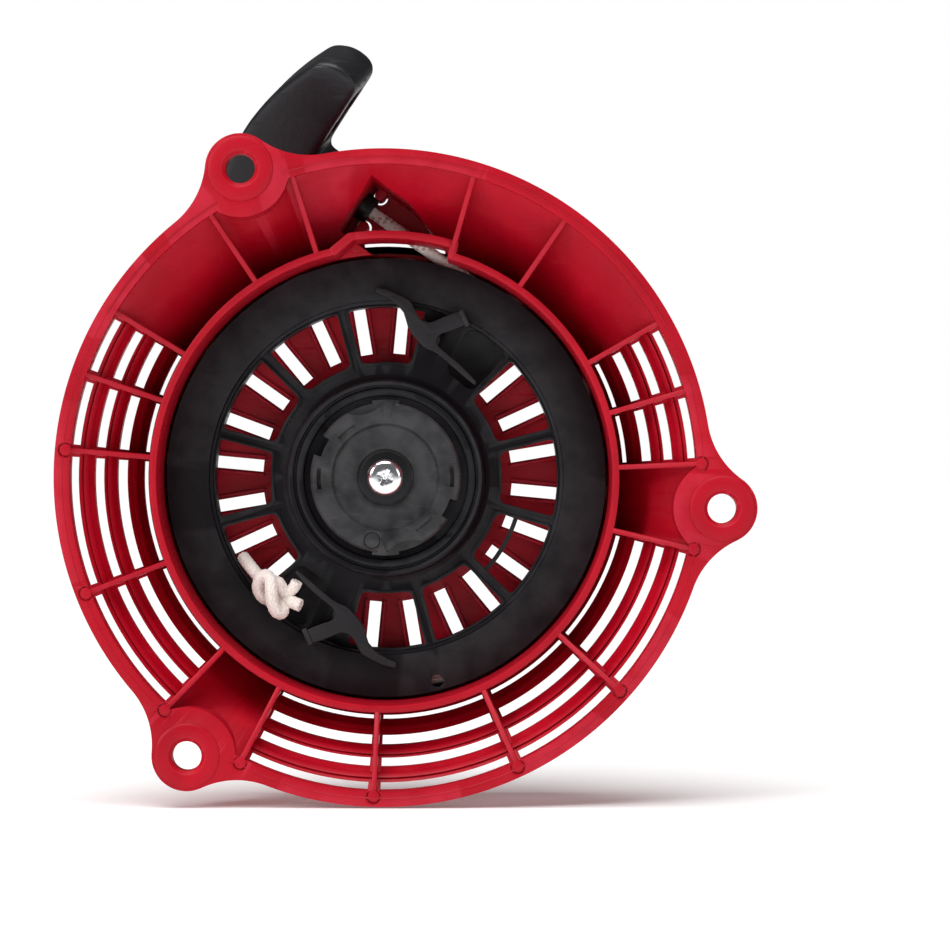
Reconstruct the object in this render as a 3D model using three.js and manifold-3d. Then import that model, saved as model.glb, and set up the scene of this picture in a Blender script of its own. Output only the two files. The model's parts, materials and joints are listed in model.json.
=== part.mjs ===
// Recoil starter of a small vertical-shaft engine: a red moulded case with a rope reel in it.
//
// Millimetres. The drawing frame has x to the right and y up, as seen from the open engine side,
// and z towards the engine. Depths are measured from the mounting plane into the case, so depth d
// lies at z = -d. The whole group is then turned to stand on its edge: X right, Z up, and Y into
// the case, with the origin where the reel's axis meets the mounting plane.

import * as THREE from 'three';
import { mergeVertices } from 'three/addons/utils/BufferGeometryUtils.js';
import Module from 'manifold-3d';

const wasm = await Module();
wasm.setup();

// ---------------------------------------------------------------- driving dimensions

const BOLT_CIRCLE_R = 90;
const EAR_ANGLES = [114.8, 234.8, 354.8];
const BOLT_HOLE_R = 3.9;
const EAR_R = 9.3;
const EAR_BOSS_R = 8.9;
const EAR_FILLET_R = 22;
const EAR_POCKET_R = 10.7;
const EAR_BACK = 5.6;

const FLANGE_R = 87;
const FLANGE_INNER_R = 83;
const FLANGE_FRONT = 0.6;
const FLANGE_BACK = 3.6;
const WALL = 2.2;

const CROWN_DEPTH = 50.4;
const CROWN_EDGE_DEPTH = 49.6;
const CROWN_FLAT_R = 57.5;
const SHOULDER_R = 6.7;
const DRUM_R = CROWN_FLAT_R + SHOULDER_R;
const SKIRT_TOP_DEPTH = 33;
const SKIRT_FOOT_R = 85.2;

const RING_INNER_R = 61.8;
const RING_OUTER_R = 64;
const RING_FRONT = 12;

const RIB_ANGLES = [2.5, 16, 29.3, 54.7, 73.3, 106.8, 123.3, 148.3, 160.9, 175, 201.3, 226.8,
  243.4, 268.3, 295, 318, 347];
const RIB_THICK = 1.9;
const VENTED_BAYS = [[2.5, 16], [16, 29.3], [148.3, 160.9], [160.9, 175], [175, 201.3],
  [201.3, 226.8], [243.4, 268.3], [268.3, 295], [295, 318], [318, 347]];
const VENT_ROWS = [{ r: 66, width: 1.9 }, { r: 71.2, width: 3.3 }, { r: 76.8, width: 3.4 },
  { r: 82, width: 2 }];
const VENT_END_GAP = 0.7;

const CROWN_SLOTS = 24;
const CROWN_SLOT_WIDTH = 3.5;
const CROWN_SLOT_INNER_R = 35.5;
const CROWN_SLOT_LONG_R = 57;
const CROWN_SLOT_SHORT_R = 49;

const POST_R = 8;
const POST_SHOULDER = 30.4;
const POST_TIP_R = 4.6;
const POST_TIP = 24.6;
const SCREW_HOLE_R = 2.8;
const SCREW_HOLE_END = 44;

const ROPE_R = 1.75;
const ROPE_DEPTH = 38.3;
const ROPE_ANGLE = 145.2;
const WIND_R = 57.6;
const RUN_GAP = 0.3;

const GUARD_ANGLES = [73, 99];
const GUARD_OUTER_R = 66.2;
const GUARD_BACK = 33.5;
const SLIT = { inner: 63.9, outer: 65.7, from: 75.5, to: 95.5 };
const OUTLET_END = 53.5;
const OUTLET_DEPTH = 45.6;
const BUSH_FROM = 45;
const BUSH_TO = 55;
const BUSH_R = 3.9;
const BUSH_LIP_R = 5.2;
const BUSH_HOLE_R = 2.2;

const REEL_R = 60;
const REEL_FRONT = 33.5;
const REEL_FLANGE = 2.2;
const GROOVE_R = 48.9;
const GROOVE_WIDTH = 5.2;
const REEL_BACK = REEL_FRONT + 2 * REEL_FLANGE + GROOVE_WIDTH;
const WEB_FRONT = 34.2;
const WEB_BACK = 37.4;
const HUB_R = 26.6;
const HUB_FRONT = 31;
const HUB_BACK = 44.6;
const SPRING_CUP_R = 25.2;
const SPRING_CUP_FLOOR = 36.6;
const WINDOW_ANGLES = [0, 30, 90, 120, 150, 180, 210, 270, 300, 330];
const WINDOW_INNER_R = 31.5;
const WINDOW_OUTER_R = 46.6;
const SPOKE_THICK = 3;

const PAWL_PIVOT = { r: 39.75, angle: 72 };
const PAWL_TIP = { r: 51.6, angle: 92 };
const PAWL_FOLLOWER = { r: 35.1, angle: 46 };
const PAWL_STOP = { r: 49, angle: 66 };
const PAWL_FRONT = 28.6;
const PAWL_BACK = 33;
const PAWL_PEG_R = 2.4;

const GUIDE_R = 21.3;
const GUIDE_FRONT = 25.2;
const GUIDE_BACK = 29.2;
const GUIDE_DISH_R = 14.7;
const GUIDE_BORE_R = POST_TIP_R + RUN_GAP;

const SCREW_HEAD_R = 5;
const SCREW_HEAD_FRONT = 20;
const WASHER_FRONT = 23.5;
const WASHER_BACK = 24.3;

const GRIP_CENTRE = 76;
const GRIP_TILT = 35;
const GRIP_HALF = 38;
const GRIP_HALF_WIDTH = 10;
const GRIP_TIP_HALF_WIDTH = 5.4;
const GRIP_BOW = 5;
const GRIP_STEM_END = 20;
const GRIP_ROUNDING = 4;
const GRIP_THICK = 16;

const BORE_SIDES = 16;
const CASE_SIDES = 48;
const REEL_SIDES = 40;

// ---------------------------------------------------------------- small geometry helpers

const rad = THREE.MathUtils.degToRad;

function polar(r, angle) {
  return new THREE.Vector2(r * Math.cos(rad(angle)), r * Math.sin(rad(angle)));
}

// A closed triangle mesh, with shared vertices and no zero-area triangles, facing outwards.
function cleaned(geometry) {
  const bare = geometry.clone();
  bare.deleteAttribute('normal');
  bare.deleteAttribute('uv');
  const merged = mergeVertices(bare, 1e-4);
  const position = merged.getAttribute('position');
  const index = merged.getIndex().array;
  const corners = [new THREE.Vector3(), new THREE.Vector3(), new THREE.Vector3()];
  const kept = [];
  let volume = 0;
  for (let i = 0; i < index.length; i += 3) {
    const [a, b, c] = [index[i], index[i + 1], index[i + 2]];
    if (a === b || b === c || c === a) continue;
    kept.push(a, b, c);
    corners.forEach((corner, k) => corner.fromBufferAttribute(position, index[i + k]));
    volume += corners[0].dot(corners[1].clone().cross(corners[2])) / 6;
  }
  if (volume < 0) kept.reverse();
  merged.setIndex(kept);
  return merged;
}

function solid(geometry) {
  const mesh = cleaned(geometry);
  return new wasm.Manifold(new wasm.Mesh({
    numProp: 3,
    vertProperties: new Float32Array(mesh.getAttribute('position').array),
    triVerts: new Uint32Array(mesh.getIndex().array),
  }));
}

function geometryOf(manifold) {
  const mesh = manifold.getMesh();
  const geometry = new THREE.BufferGeometry();
  geometry.setAttribute('position', new THREE.BufferAttribute(mesh.vertProperties, 3));
  geometry.setIndex(new THREE.BufferAttribute(mesh.triVerts, 1));
  return geometry;
}

function joined(pieces) {
  return pieces.reduce((whole, piece) => whole.add(piece));
}

function cutBy(body, cutters) {
  return cutters.reduce((rest, cutter) => rest.subtract(cutter), body);
}

// A flat outline extruded between two depths. Each of its arcs has this many sides.
function slab(shape, from, to, arcSides = 8) {
  const geometry = new THREE.ExtrudeGeometry(shape, {
    depth: to - from, bevelEnabled: false, curveSegments: arcSides / 2,
  });
  return solid(geometry.translate(0, 0, -to));
}

// A profile of [radius, depth] points turned about the reel's axis.
function turned(profile, sides) {
  const points = profile.map(([r, depth]) => new THREE.Vector2(r, -depth));
  return solid(new THREE.LatheGeometry(points, sides).rotateX(Math.PI / 2));
}

function disc(r, from, to, centre = new THREE.Vector2(), sides = BORE_SIDES) {
  const shape = new THREE.Shape();
  shape.absarc(centre.x, centre.y, r, 0, 2 * Math.PI, false);
  return slab(shape, from, to, sides);
}

// A stretch of ring between two radii and two angles.
function arcBand(inner, outer, fromAngle, toAngle, from, to) {
  const sides = 2 * Math.max(1, Math.round((toAngle - fromAngle) / 20));
  const shape = new THREE.Shape();
  shape.absarc(0, 0, outer, rad(fromAngle), rad(toAngle), false);
  shape.absarc(0, 0, inner, rad(toAngle), rad(fromAngle), true);
  return slab(shape, from, to, sides);
}

function polygon(points) {
  return new THREE.Shape(points);
}

// A bar with round ends between two points of the drawing.
function bar(start, end, width, from, to) {
  const along = end.clone().sub(start);
  const angle = along.angle();
  const shape = new THREE.Shape();
  shape.absarc(end.x, end.y, width / 2, angle - Math.PI / 2, angle + Math.PI / 2, false);
  shape.absarc(start.x, start.y, width / 2, angle + Math.PI / 2, angle + 1.5 * Math.PI, false);
  return slab(shape, from, to, 8);
}

// ---------------------------------------------------------------- the rope's line

// The rope leaves the reel at a tangent. "along" counts from the tangent point towards the
// grip, and "across" at right angles to it, away from the reel.
const ALONG = polar(1, ROPE_ANGLE);
const ACROSS = polar(1, ROPE_ANGLE - 90);
const TANGENT_POINT = ACROSS.clone().multiplyScalar(WIND_R);

function ropePlan(along, across = 0) {
  return TANGENT_POINT.clone().addScaledVector(ALONG, along).addScaledVector(ACROSS, across);
}

function ropePoint(along) {
  const plan = ropePlan(along);
  return new THREE.Vector3(plan.x, plan.y, -ROPE_DEPTH);
}

// A round bar on the rope's line.
function onRope(r, from, to, sides = BORE_SIDES) {
  const geometry = new THREE.CylinderGeometry(r, r, to - from, sides);
  geometry.rotateZ(rad(ROPE_ANGLE - 90));
  const middle = ropePoint((from + to) / 2);
  return solid(geometry.translate(middle.x, middle.y, middle.z));
}

// A round cord along a list of points.
function cord(points, r) {
  const section = new THREE.Shape();
  section.absarc(0, 0, r, 0, 2 * Math.PI, false);
  const path = new THREE.CatmullRomCurve3(points);
  return solid(new THREE.ExtrudeGeometry(section, {
    steps: Math.max(2, Math.round(path.getLength() / (4 * r))),
    curveSegments: 4, bevelEnabled: false, extrudePath: path,
  }));
}

// ---------------------------------------------------------------- materials

const plastic = (color, roughness) => (
  new THREE.MeshStandardMaterial({ color, roughness, metalness: 0 }));
const metal = (color, roughness) => (
  new THREE.MeshStandardMaterial({ color, roughness, metalness: 1 }));

const RED = () => plastic(0xb3122b, 0.45);
const BLACK = () => plastic(0x1d1c1f, 0.4);
const PAWL_GREY = () => plastic(0x2b2a2d, 0.5);
const GUIDE_BLACK = () => plastic(0x151517, 0.35);
const ROPE_WHITE = () => plastic(0xe6ddd0, 0.9);
const SPRING_STEEL = () => metal(0x6e6a66, 0.4);
const BRIGHT_STEEL = () => metal(0xd7dade, 0.25);
const DARK_STEEL = () => metal(0x2e2f31, 0.5);

// ---------------------------------------------------------------- starter case

function shoulder(edgeR, edgeDepth, radius) {
  const steps = 3;
  const points = [];
  for (let i = 0; i <= steps; i += 1) {
    const turn = (i / steps) * (Math.PI / 2);
    points.push([
      edgeR - radius + radius * Math.sin(turn),
      edgeDepth - radius + radius * Math.cos(turn),
    ]);
  }
  return points;
}

function caseOuter() {
  return turned([
    [0, CROWN_DEPTH],
    ...shoulder(DRUM_R, CROWN_EDGE_DEPTH, SHOULDER_R),
    [DRUM_R, SKIRT_TOP_DEPTH],
    [SKIRT_FOOT_R, FLANGE_BACK],
    [SKIRT_FOOT_R, FLANGE_FRONT],
    [0, FLANGE_FRONT],
  ], CASE_SIDES);
}

function drumCavity() {
  const edgeDepth = CROWN_EDGE_DEPTH - WALL;
  return turned([
    [0, CROWN_DEPTH - WALL],
    ...shoulder(RING_INNER_R, edgeDepth, SHOULDER_R - WALL),
    [RING_INNER_R, -1],
    [0, -1],
  ], CASE_SIDES);
}

// The skirt's inner face runs parallel to its outer one, one wall thickness inside it.
function skirtInner() {
  const run = new THREE.Vector2(SKIRT_FOOT_R - DRUM_R, SKIRT_TOP_DEPTH - FLANGE_BACK);
  const length = run.length();
  const shift = new THREE.Vector2(run.y, run.x).multiplyScalar(WALL / length);
  const slope = run.y / run.x;
  const footR = SKIRT_FOOT_R - shift.x;
  const footDepth = FLANGE_BACK - shift.y;
  return { footR, footDepth, depthAt: (r) => footDepth + (footR - r) * slope };
}

function fanCavity() {
  const { footR, footDepth, depthAt } = skirtInner();
  return turned([
    [RING_OUTER_R, -1],
    [RING_OUTER_R, depthAt(RING_OUTER_R)],
    [footR, footDepth],
    [footR, -1],
    [RING_OUTER_R, -1],
  ], CASE_SIDES);
}

// The flange's outline: a circle with three ears, each blended in by two hollow curves.
function flangeShape() {
  const reach = FLANGE_R + EAR_FILLET_R;
  const span = EAR_R + EAR_FILLET_R;
  const cosine = (BOLT_CIRCLE_R ** 2 + reach ** 2 - span ** 2) / (2 * BOLT_CIRCLE_R * reach);
  const blend = THREE.MathUtils.radToDeg(Math.acos(cosine));
  const shape = new THREE.Shape();
  EAR_ANGLES.forEach((ear, i) => {
    const before = polar(reach, ear - blend);
    const after = polar(reach, ear + blend);
    const centre = polar(BOLT_CIRCLE_R, ear);
    const toBefore = before.clone().sub(centre).angle();
    const toAfter = after.clone().sub(centre).angle();
    shape.absarc(before.x, before.y, EAR_FILLET_R, rad(ear - blend) + Math.PI,
      toBefore + Math.PI, true);
    shape.absarc(centre.x, centre.y, EAR_R, toBefore, toAfter, false);
    shape.absarc(after.x, after.y, EAR_FILLET_R, toAfter + Math.PI,
      rad(ear + blend) + Math.PI, true);
    const next = EAR_ANGLES[(i + 1) % EAR_ANGLES.length];
    for (let a = ear + blend + 4; a < ear + 120 - blend - 2; a += 4) {
      const point = polar(FLANGE_R, a);
      shape.lineTo(point.x, point.y);
    }
    const end = polar(FLANGE_R, next - blend);
    shape.lineTo(end.x, end.y);
  });
  return shape;
}

function flangePlate() {
  const plate = slab(flangeShape(), FLANGE_FRONT, FLANGE_BACK, 8);
  const ring = plate.subtract(disc(FLANGE_INNER_R, -1, FLANGE_BACK + 1, undefined, CASE_SIDES));
  const pads = EAR_ANGLES.map((ear) => (
    disc(EAR_POCKET_R + WALL, FLANGE_FRONT, FLANGE_BACK, polar(BOLT_CIRCLE_R, ear), 20)));
  const outline = slab(flangeShape(), -1, FLANGE_BACK + 1, 8);
  return joined([ring, ...pads]).intersect(outline);
}

// Each rib is a web between the ring wall and the skirt.
function rib(angle) {
  const { depthAt } = skirtInner();
  const inset = 0.6;
  const outer = FLANGE_INNER_R + inset;
  const shape = polygon([
    new THREE.Vector2(RING_OUTER_R - 1, -RING_FRONT),
    new THREE.Vector2(outer, -FLANGE_FRONT - 3),
    new THREE.Vector2(outer, -FLANGE_FRONT - 3 - inset),
    new THREE.Vector2(RING_OUTER_R - 1, -depthAt(RING_OUTER_R - 1) - inset),
  ]);
  const geometry = new THREE.ExtrudeGeometry(shape, { depth: RIB_THICK, bevelEnabled: false });
  geometry.translate(0, 0, -RIB_THICK / 2);
  geometry.rotateX(Math.PI / 2);
  geometry.rotateZ(rad(angle));
  return solid(geometry);
}

function ventCutters() {
  const cutters = [];
  for (const [from, to] of VENTED_BAYS) {
    for (const row of VENT_ROWS) {
      const clear = THREE.MathUtils.radToDeg((RIB_THICK / 2 + VENT_END_GAP) / row.r);
      const inner = row.r - row.width / 2;
      const outer = row.r + row.width / 2;
      cutters.push(arcBand(inner, outer, from + clear, to - clear, FLANGE_FRONT + 1, 40));
    }
  }
  return cutters;
}

function crownSlotCutters() {
  const cutters = [];
  for (let i = 0; i < CROWN_SLOTS; i += 1) {
    const outer = i % 2 === 0 ? CROWN_SLOT_LONG_R : CROWN_SLOT_SHORT_R;
    const length = outer - CROWN_SLOT_INNER_R;
    const geometry = new THREE.BoxGeometry(length, CROWN_SLOT_WIDTH, 10);
    geometry.translate(CROWN_SLOT_INNER_R + length / 2, 0, -CROWN_DEPTH);
    geometry.rotateZ(rad((360 / CROWN_SLOTS) * i));
    cutters.push(solid(geometry));
  }
  return cutters;
}

function outletShape(inset) {
  const low = -12 + inset;
  const high = 11 - inset;
  const end = inset > 0 ? BUSH_FROM + 3.5 : OUTLET_END;
  return polygon([
    ropePlan(5, low),
    ropePlan(end, low),
    ropePlan(end, high),
    ropePlan(36, high),
    ropePlan(5, 2 - inset),
  ]);
}

function starterCase() {
  const outletHollow = outletShape(WALL);
  const outletFloor = OUTLET_DEPTH - WALL;
  const ears = EAR_ANGLES.map((ear) => polar(BOLT_CIRCLE_R, ear));
  const outer = caseOuter();

  let body = outer.add(slab(outletShape(0), 2 * FLANGE_BACK, OUTLET_DEPTH));
  body = cutBy(body, [
    drumCavity(),
    fanCavity(),
    disc(RING_OUTER_R + 0.5, -1, RING_FRONT, undefined, CASE_SIDES),
    arcBand(RING_INNER_R - 1, RING_OUTER_R + 0.2, GUARD_ANGLES[0] + 1.4, GUARD_ANGLES[1] - 2,
      RING_FRONT - 1, outletFloor),
    slab(outletHollow, -1, outletFloor).subtract(
      disc(GUARD_OUTER_R, -2, GUARD_BACK, undefined, CASE_SIDES)),
    onRope(BUSH_R + RUN_GAP, BUSH_FROM, OUTLET_END + 5),
  ]);
  const pocketWalls = ears.map((ear) => (
    disc(EAR_POCKET_R + WALL, FLANGE_FRONT, 40, ear, 20).intersect(outer)));
  body = joined([
    body,
    flangePlate(),
    ...pocketWalls,
    ...RIB_ANGLES.map(rib),
    arcBand(RING_OUTER_R, GUARD_OUTER_R, ...GUARD_ANGLES, RING_FRONT, GUARD_BACK),
    arcBand(RING_INNER_R, GUARD_OUTER_R, GUARD_ANGLES[0], GUARD_ANGLES[0] + 2,
      RING_FRONT, GUARD_BACK),
    arcBand(RING_INNER_R, GUARD_OUTER_R, GUARD_ANGLES[1] - 2.4, GUARD_ANGLES[1],
      RING_FRONT, GUARD_BACK),
    disc(POST_R, POST_SHOULDER, CROWN_DEPTH - 1, undefined, 32),
    disc(POST_TIP_R, POST_TIP, POST_SHOULDER + 1),
  ]);
  body = cutBy(body, [
    ...ears.map((ear) => disc(EAR_POCKET_R, FLANGE_BACK, 60, ear, 20)),
    arcBand(SLIT.inner, SLIT.outer, SLIT.from, SLIT.to, outletFloor - 2, CROWN_DEPTH + 2),
    ...ventCutters(),
    ...crownSlotCutters(),
    disc(SCREW_HOLE_R, POST_TIP - 1, SCREW_HOLE_END, undefined, 16),
  ]);
  body = joined([body, ...ears.map((ear) => disc(EAR_BOSS_R, 0, EAR_BACK, ear, 20))]);
  return cutBy(body, ears.map((ear) => disc(BOLT_HOLE_R, -1, EAR_BACK + 1, ear)));
}

// ---------------------------------------------------------------- rope, bush and grip

function ropeBush() {
  const sleeve = onRope(BUSH_R, BUSH_FROM, BUSH_TO);
  const lip = onRope(BUSH_LIP_R, OUTLET_END + RUN_GAP, BUSH_TO);
  return sleeve.add(lip).subtract(onRope(BUSH_HOLE_R, BUSH_FROM - 1, BUSH_TO + 1));
}

function ropeWinding() {
  const front = REEL_FRONT + REEL_FLANGE + RUN_GAP;
  const back = front + GROOVE_WIDTH - 2 * RUN_GAP;
  const outer = WIND_R - ROPE_R - RUN_GAP;
  const inner = GROOVE_R + RUN_GAP;
  return turned([[inner, front], [outer, front], [outer, back], [inner, back], [inner, front]],
    REEL_SIDES);
}

const KNOT = { r: 43.4, angle: 225.5, depth: 29.4, size: 4.6 };

function knotCentre() {
  const plan = polar(KNOT.r, KNOT.angle);
  return new THREE.Vector3(plan.x, plan.y, -KNOT.depth);
}

function ropeKnot() {
  const centre = knotCentre();
  const geometry = new THREE.SphereGeometry(KNOT.size, 14, 9);
  geometry.scale(1, 1.1, 0.8);
  return solid(geometry.translate(centre.x, centre.y, centre.z));
}

// The rope's end comes up through the window by the reel's rim and into the knot.
function ropeAnchor() {
  const start = polar(44.8, 208);
  const end = polar(KNOT.r, 217.6);
  return cord([
    new THREE.Vector3(start.x, start.y, -(WEB_FRONT + 2)),
    new THREE.Vector3(start.x, start.y, -(WEB_FRONT - 2)),
    new THREE.Vector3((start.x + end.x) / 2, (start.y + end.y) / 2, -(KNOT.depth + 1)),
    new THREE.Vector3(end.x, end.y, -KNOT.depth),
  ], 1.2);
}

function ropeTail() {
  const start = polar(KNOT.r + 0.6, 232.9);
  const end = polar(KNOT.r + 1.5, 239);
  return cord([
    new THREE.Vector3(start.x, start.y, -KNOT.depth),
    new THREE.Vector3((start.x + end.x) / 2, (start.y + end.y) / 2, -(KNOT.depth - 0.5)),
    new THREE.Vector3(end.x, end.y, -KNOT.depth),
  ], 1.2);
}

// The grip is drawn with x along its bar and y along the rope, away from the case.
const GRIP_STEPS = 8;

function gripOutline() {
  const share = (x) => (x / GRIP_HALF) ** 2;
  const spread = GRIP_HALF_WIDTH - GRIP_TIP_HALF_WIDTH;
  const crest = (x) => GRIP_HALF_WIDTH - (GRIP_BOW + spread) * share(x);
  const belly = (x) => -GRIP_HALF_WIDTH + (spread - GRIP_BOW) * share(x);
  const tipStart = GRIP_HALF - GRIP_TIP_HALF_WIDTH;
  const shape = new THREE.Shape();
  shape.moveTo(-6.2, -GRIP_STEM_END);
  shape.lineTo(6.2, -GRIP_STEM_END);
  shape.lineTo(7.6, -15);
  shape.quadraticCurveTo(8.4, belly(8.4), 14, belly(14));
  shape.lineTo(tipStart, belly(tipStart));
  shape.quadraticCurveTo(GRIP_HALF, belly(GRIP_HALF), GRIP_HALF, -GRIP_BOW);
  shape.quadraticCurveTo(GRIP_HALF, crest(GRIP_HALF), tipStart, crest(tipStart));
  for (let i = GRIP_STEPS - 1; i > -GRIP_STEPS; i -= 1) {
    const x = (tipStart * i) / GRIP_STEPS;
    shape.lineTo(x, crest(x));
  }
  shape.lineTo(-tipStart, crest(tipStart));
  shape.quadraticCurveTo(-GRIP_HALF, crest(GRIP_HALF), -GRIP_HALF, -GRIP_BOW);
  shape.quadraticCurveTo(-GRIP_HALF, belly(GRIP_HALF), -tipStart, belly(tipStart));
  shape.lineTo(-14, belly(14));
  shape.quadraticCurveTo(-8.4, belly(8.4), -7.6, -15);
  shape.closePath();
  return shape;
}

const CHAMBER = { half: 11, low: -4, high: 4, depth: 8.4 };

function gripBox(fromX, toX, fromY, toY) {
  const geometry = new THREE.BoxGeometry(toX - fromX, toY - fromY, CHAMBER.depth);
  return solid(geometry.translate((fromX + toX) / 2, (fromY + toY) / 2, 0));
}

function gripRod(r, fromY, toY, sides = 16) {
  const geometry = new THREE.CylinderGeometry(r, r, toY - fromY, sides);
  return solid(geometry.translate(0, (fromY + toY) / 2, 0));
}

function gripBody() {
  const geometry = new THREE.ExtrudeGeometry(gripOutline(), {
    depth: GRIP_THICK - 2 * GRIP_ROUNDING, curveSegments: 4, bevelEnabled: true,
    bevelThickness: GRIP_ROUNDING, bevelSize: GRIP_ROUNDING, bevelOffset: -GRIP_ROUNDING,
    bevelSegments: 2,
  });
  geometry.translate(0, 0, -(GRIP_THICK / 2 - GRIP_ROUNDING));
  return cutBy(solid(geometry), [
    gripBox(9.5, 30, -14, -1),
    gripBox(-30, -9.5, -14, -1),
    gripBox(-CHAMBER.half, CHAMBER.half, CHAMBER.low, CHAMBER.high),
    gripRod(ROPE_R + 0.65, -GRIP_STEM_END - 1, CHAMBER.low + 1),
  ]);
}

function gripRetainer() {
  return gripRod(3.8, CHAMBER.low + RUN_GAP, CHAMBER.low + 1.1).subtract(
    gripRod(ROPE_R + 0.45, CHAMBER.low - 1, CHAMBER.low + 2));
}

function gripKnot() {
  const geometry = new THREE.SphereGeometry(2.9, 12, 8);
  return solid(geometry.translate(0, CHAMBER.low + 1.1 + RUN_GAP + 2.9, 0));
}

// ---------------------------------------------------------------- reel and its catch

function windowCutter(angle) {
  const innerClear = THREE.MathUtils.radToDeg(SPOKE_THICK / 2 / WINDOW_INNER_R);
  const outerClear = THREE.MathUtils.radToDeg(SPOKE_THICK / 2 / WINDOW_OUTER_R);
  const shape = new THREE.Shape();
  shape.absarc(0, 0, WINDOW_OUTER_R, rad(angle - 15 + outerClear), rad(angle + 15 - outerClear),
    false);
  shape.absarc(0, 0, WINDOW_INNER_R, rad(angle + 15 - innerClear), rad(angle - 15 + innerClear),
    true);
  return slab(shape, HUB_FRONT, WEB_BACK + 1, 4);
}

function pocketCutter(half) {
  const geometry = new THREE.BoxGeometry(13, 12, 1.6);
  geometry.translate(40, -7, -WEB_FRONT);
  geometry.rotateZ(rad(60 + half));
  return solid(geometry);
}

function reel() {
  const grooveFront = REEL_FRONT + REEL_FLANGE;
  const body = turned([
    [POST_R + 0.35, HUB_FRONT],
    [HUB_R, HUB_FRONT],
    [HUB_R, WEB_FRONT],
    [WINDOW_OUTER_R + 1, WEB_FRONT],
    [WINDOW_OUTER_R + 1.6, REEL_FRONT],
    [REEL_R, REEL_FRONT],
    [REEL_R, grooveFront],
    [GROOVE_R, grooveFront],
    [GROOVE_R, grooveFront + GROOVE_WIDTH],
    [REEL_R, grooveFront + GROOVE_WIDTH],
    [REEL_R, REEL_BACK],
    [WINDOW_OUTER_R + 0.3, REEL_BACK],
    [WINDOW_OUTER_R + 0.3, WEB_BACK],
    [HUB_R + 0.8, WEB_BACK],
    [HUB_R + 0.8, HUB_BACK],
    [SPRING_CUP_R, HUB_BACK],
    [SPRING_CUP_R, SPRING_CUP_FLOOR],
    [POST_R + 0.35, SPRING_CUP_FLOOR],
    [POST_R + 0.35, HUB_FRONT],
  ], REEL_SIDES);
  const pegHoles = [0, 180].map((half) => (
    disc(PAWL_PEG_R + RUN_GAP, HUB_FRONT, WEB_BACK + 1,
      polar(PAWL_PIVOT.r, PAWL_PIVOT.angle + half), 16)));
  return cutBy(body, [
    ...WINDOW_ANGLES.map(windowCutter),
    ...[0, 180].map(pocketCutter),
    ...pegHoles,
    disc(1.8, REEL_FRONT - 1, grooveFront + 1, polar(57, -75.9), 12),
  ]);
}

function pawl(half) {
  const at = ({ r, angle }) => polar(r, angle + half);
  const pivot = at(PAWL_PIVOT);
  return joined([
    disc(4.2, PAWL_FRONT, PAWL_BACK, pivot),
    bar(pivot, at(PAWL_TIP), 4.6, PAWL_FRONT, PAWL_BACK),
    bar(pivot, at(PAWL_FOLLOWER), 3.4, PAWL_FRONT + 0.6, PAWL_BACK),
    bar(pivot, at(PAWL_STOP), 4.6, PAWL_FRONT + 0.6, PAWL_BACK),
    disc(PAWL_PEG_R, PAWL_BACK - 1, WEB_BACK - 0.4, pivot, 16),
  ]);
}

function ratchetGuide() {
  const plate = 1.6;
  const dish = 1;
  const body = turned([
    [GUIDE_BORE_R, GUIDE_FRONT + dish],
    [GUIDE_DISH_R - 0.6, GUIDE_FRONT + dish],
    [GUIDE_DISH_R, GUIDE_FRONT],
    [GUIDE_R, GUIDE_FRONT],
    [GUIDE_R, GUIDE_BACK],
    [GUIDE_DISH_R, GUIDE_BACK],
    [GUIDE_DISH_R - 1, GUIDE_FRONT + dish + plate],
    [GUIDE_BORE_R, GUIDE_FRONT + dish + plate],
    [GUIDE_BORE_R, GUIDE_FRONT + dish],
  ], 32);
  const cuts = [];
  for (const half of [0, 180]) {
    cuts.push(disc(5, GUIDE_FRONT - 1, GUIDE_BACK + 1, polar(GUIDE_R + 1.5, 108 + half)));
    cuts.push(arcBand(17, 19.6, 47 + half, 80 + half, GUIDE_FRONT - 1, GUIDE_FRONT + 1.5));
    cuts.push(arcBand(19, 23, 147 + half, 160 + half, GUIDE_FRONT - 1, GUIDE_BACK + 1));
    cuts.push(arcBand(18.4, 19.6, -16 + half, 8 + half, GUIDE_FRONT - 1, GUIDE_FRONT + 1.5));
  }
  return cutBy(body, cuts);
}

// A short coil that presses the guide against its washer, so that the guide drags on the post.
function frictionSpring() {
  const coilR = 9.6;
  const turns = 1.8;
  const steps = 16;
  const points = [];
  for (let i = 0; i <= turns * steps; i += 1) {
    const plan = polar(coilR, (360 / steps) * i);
    points.push(new THREE.Vector3(plan.x, plan.y, -(28.5 + (0.95 * i) / steps)));
  }
  const section = new THREE.Shape();
  section.absarc(0, 0, 0.35, 0, 2 * Math.PI, false);
  return solid(new THREE.ExtrudeGeometry(section, {
    steps: Math.round(turns * steps), curveSegments: 3, bevelEnabled: false,
    extrudePath: new THREE.CatmullRomCurve3(points),
  }));
}

function thrustWasher() {
  return disc(8.3, 29.5, 30.1).subtract(disc(POST_TIP_R + RUN_GAP, 29, 31));
}

function centreWasher() {
  return disc(6.9, WASHER_FRONT, WASHER_BACK).subtract(disc(SCREW_HOLE_R + 0.1, 23, 25));
}

function centreScrew() {
  const head = turned([
    [0, SCREW_HEAD_FRONT],
    [SCREW_HEAD_R - 1.2, SCREW_HEAD_FRONT + 0.15],
    [SCREW_HEAD_R, SCREW_HEAD_FRONT + 1.2],
    [SCREW_HEAD_R, WASHER_FRONT - RUN_GAP],
    [2.4, WASHER_FRONT - RUN_GAP],
    [2.4, SCREW_HOLE_END - 2],
    [0, SCREW_HOLE_END - 1],
  ], 32);
  return head.subtract(disc(2, SCREW_HEAD_FRONT - 1, SCREW_HEAD_FRONT + 1.6, undefined, 6));
}

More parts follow.
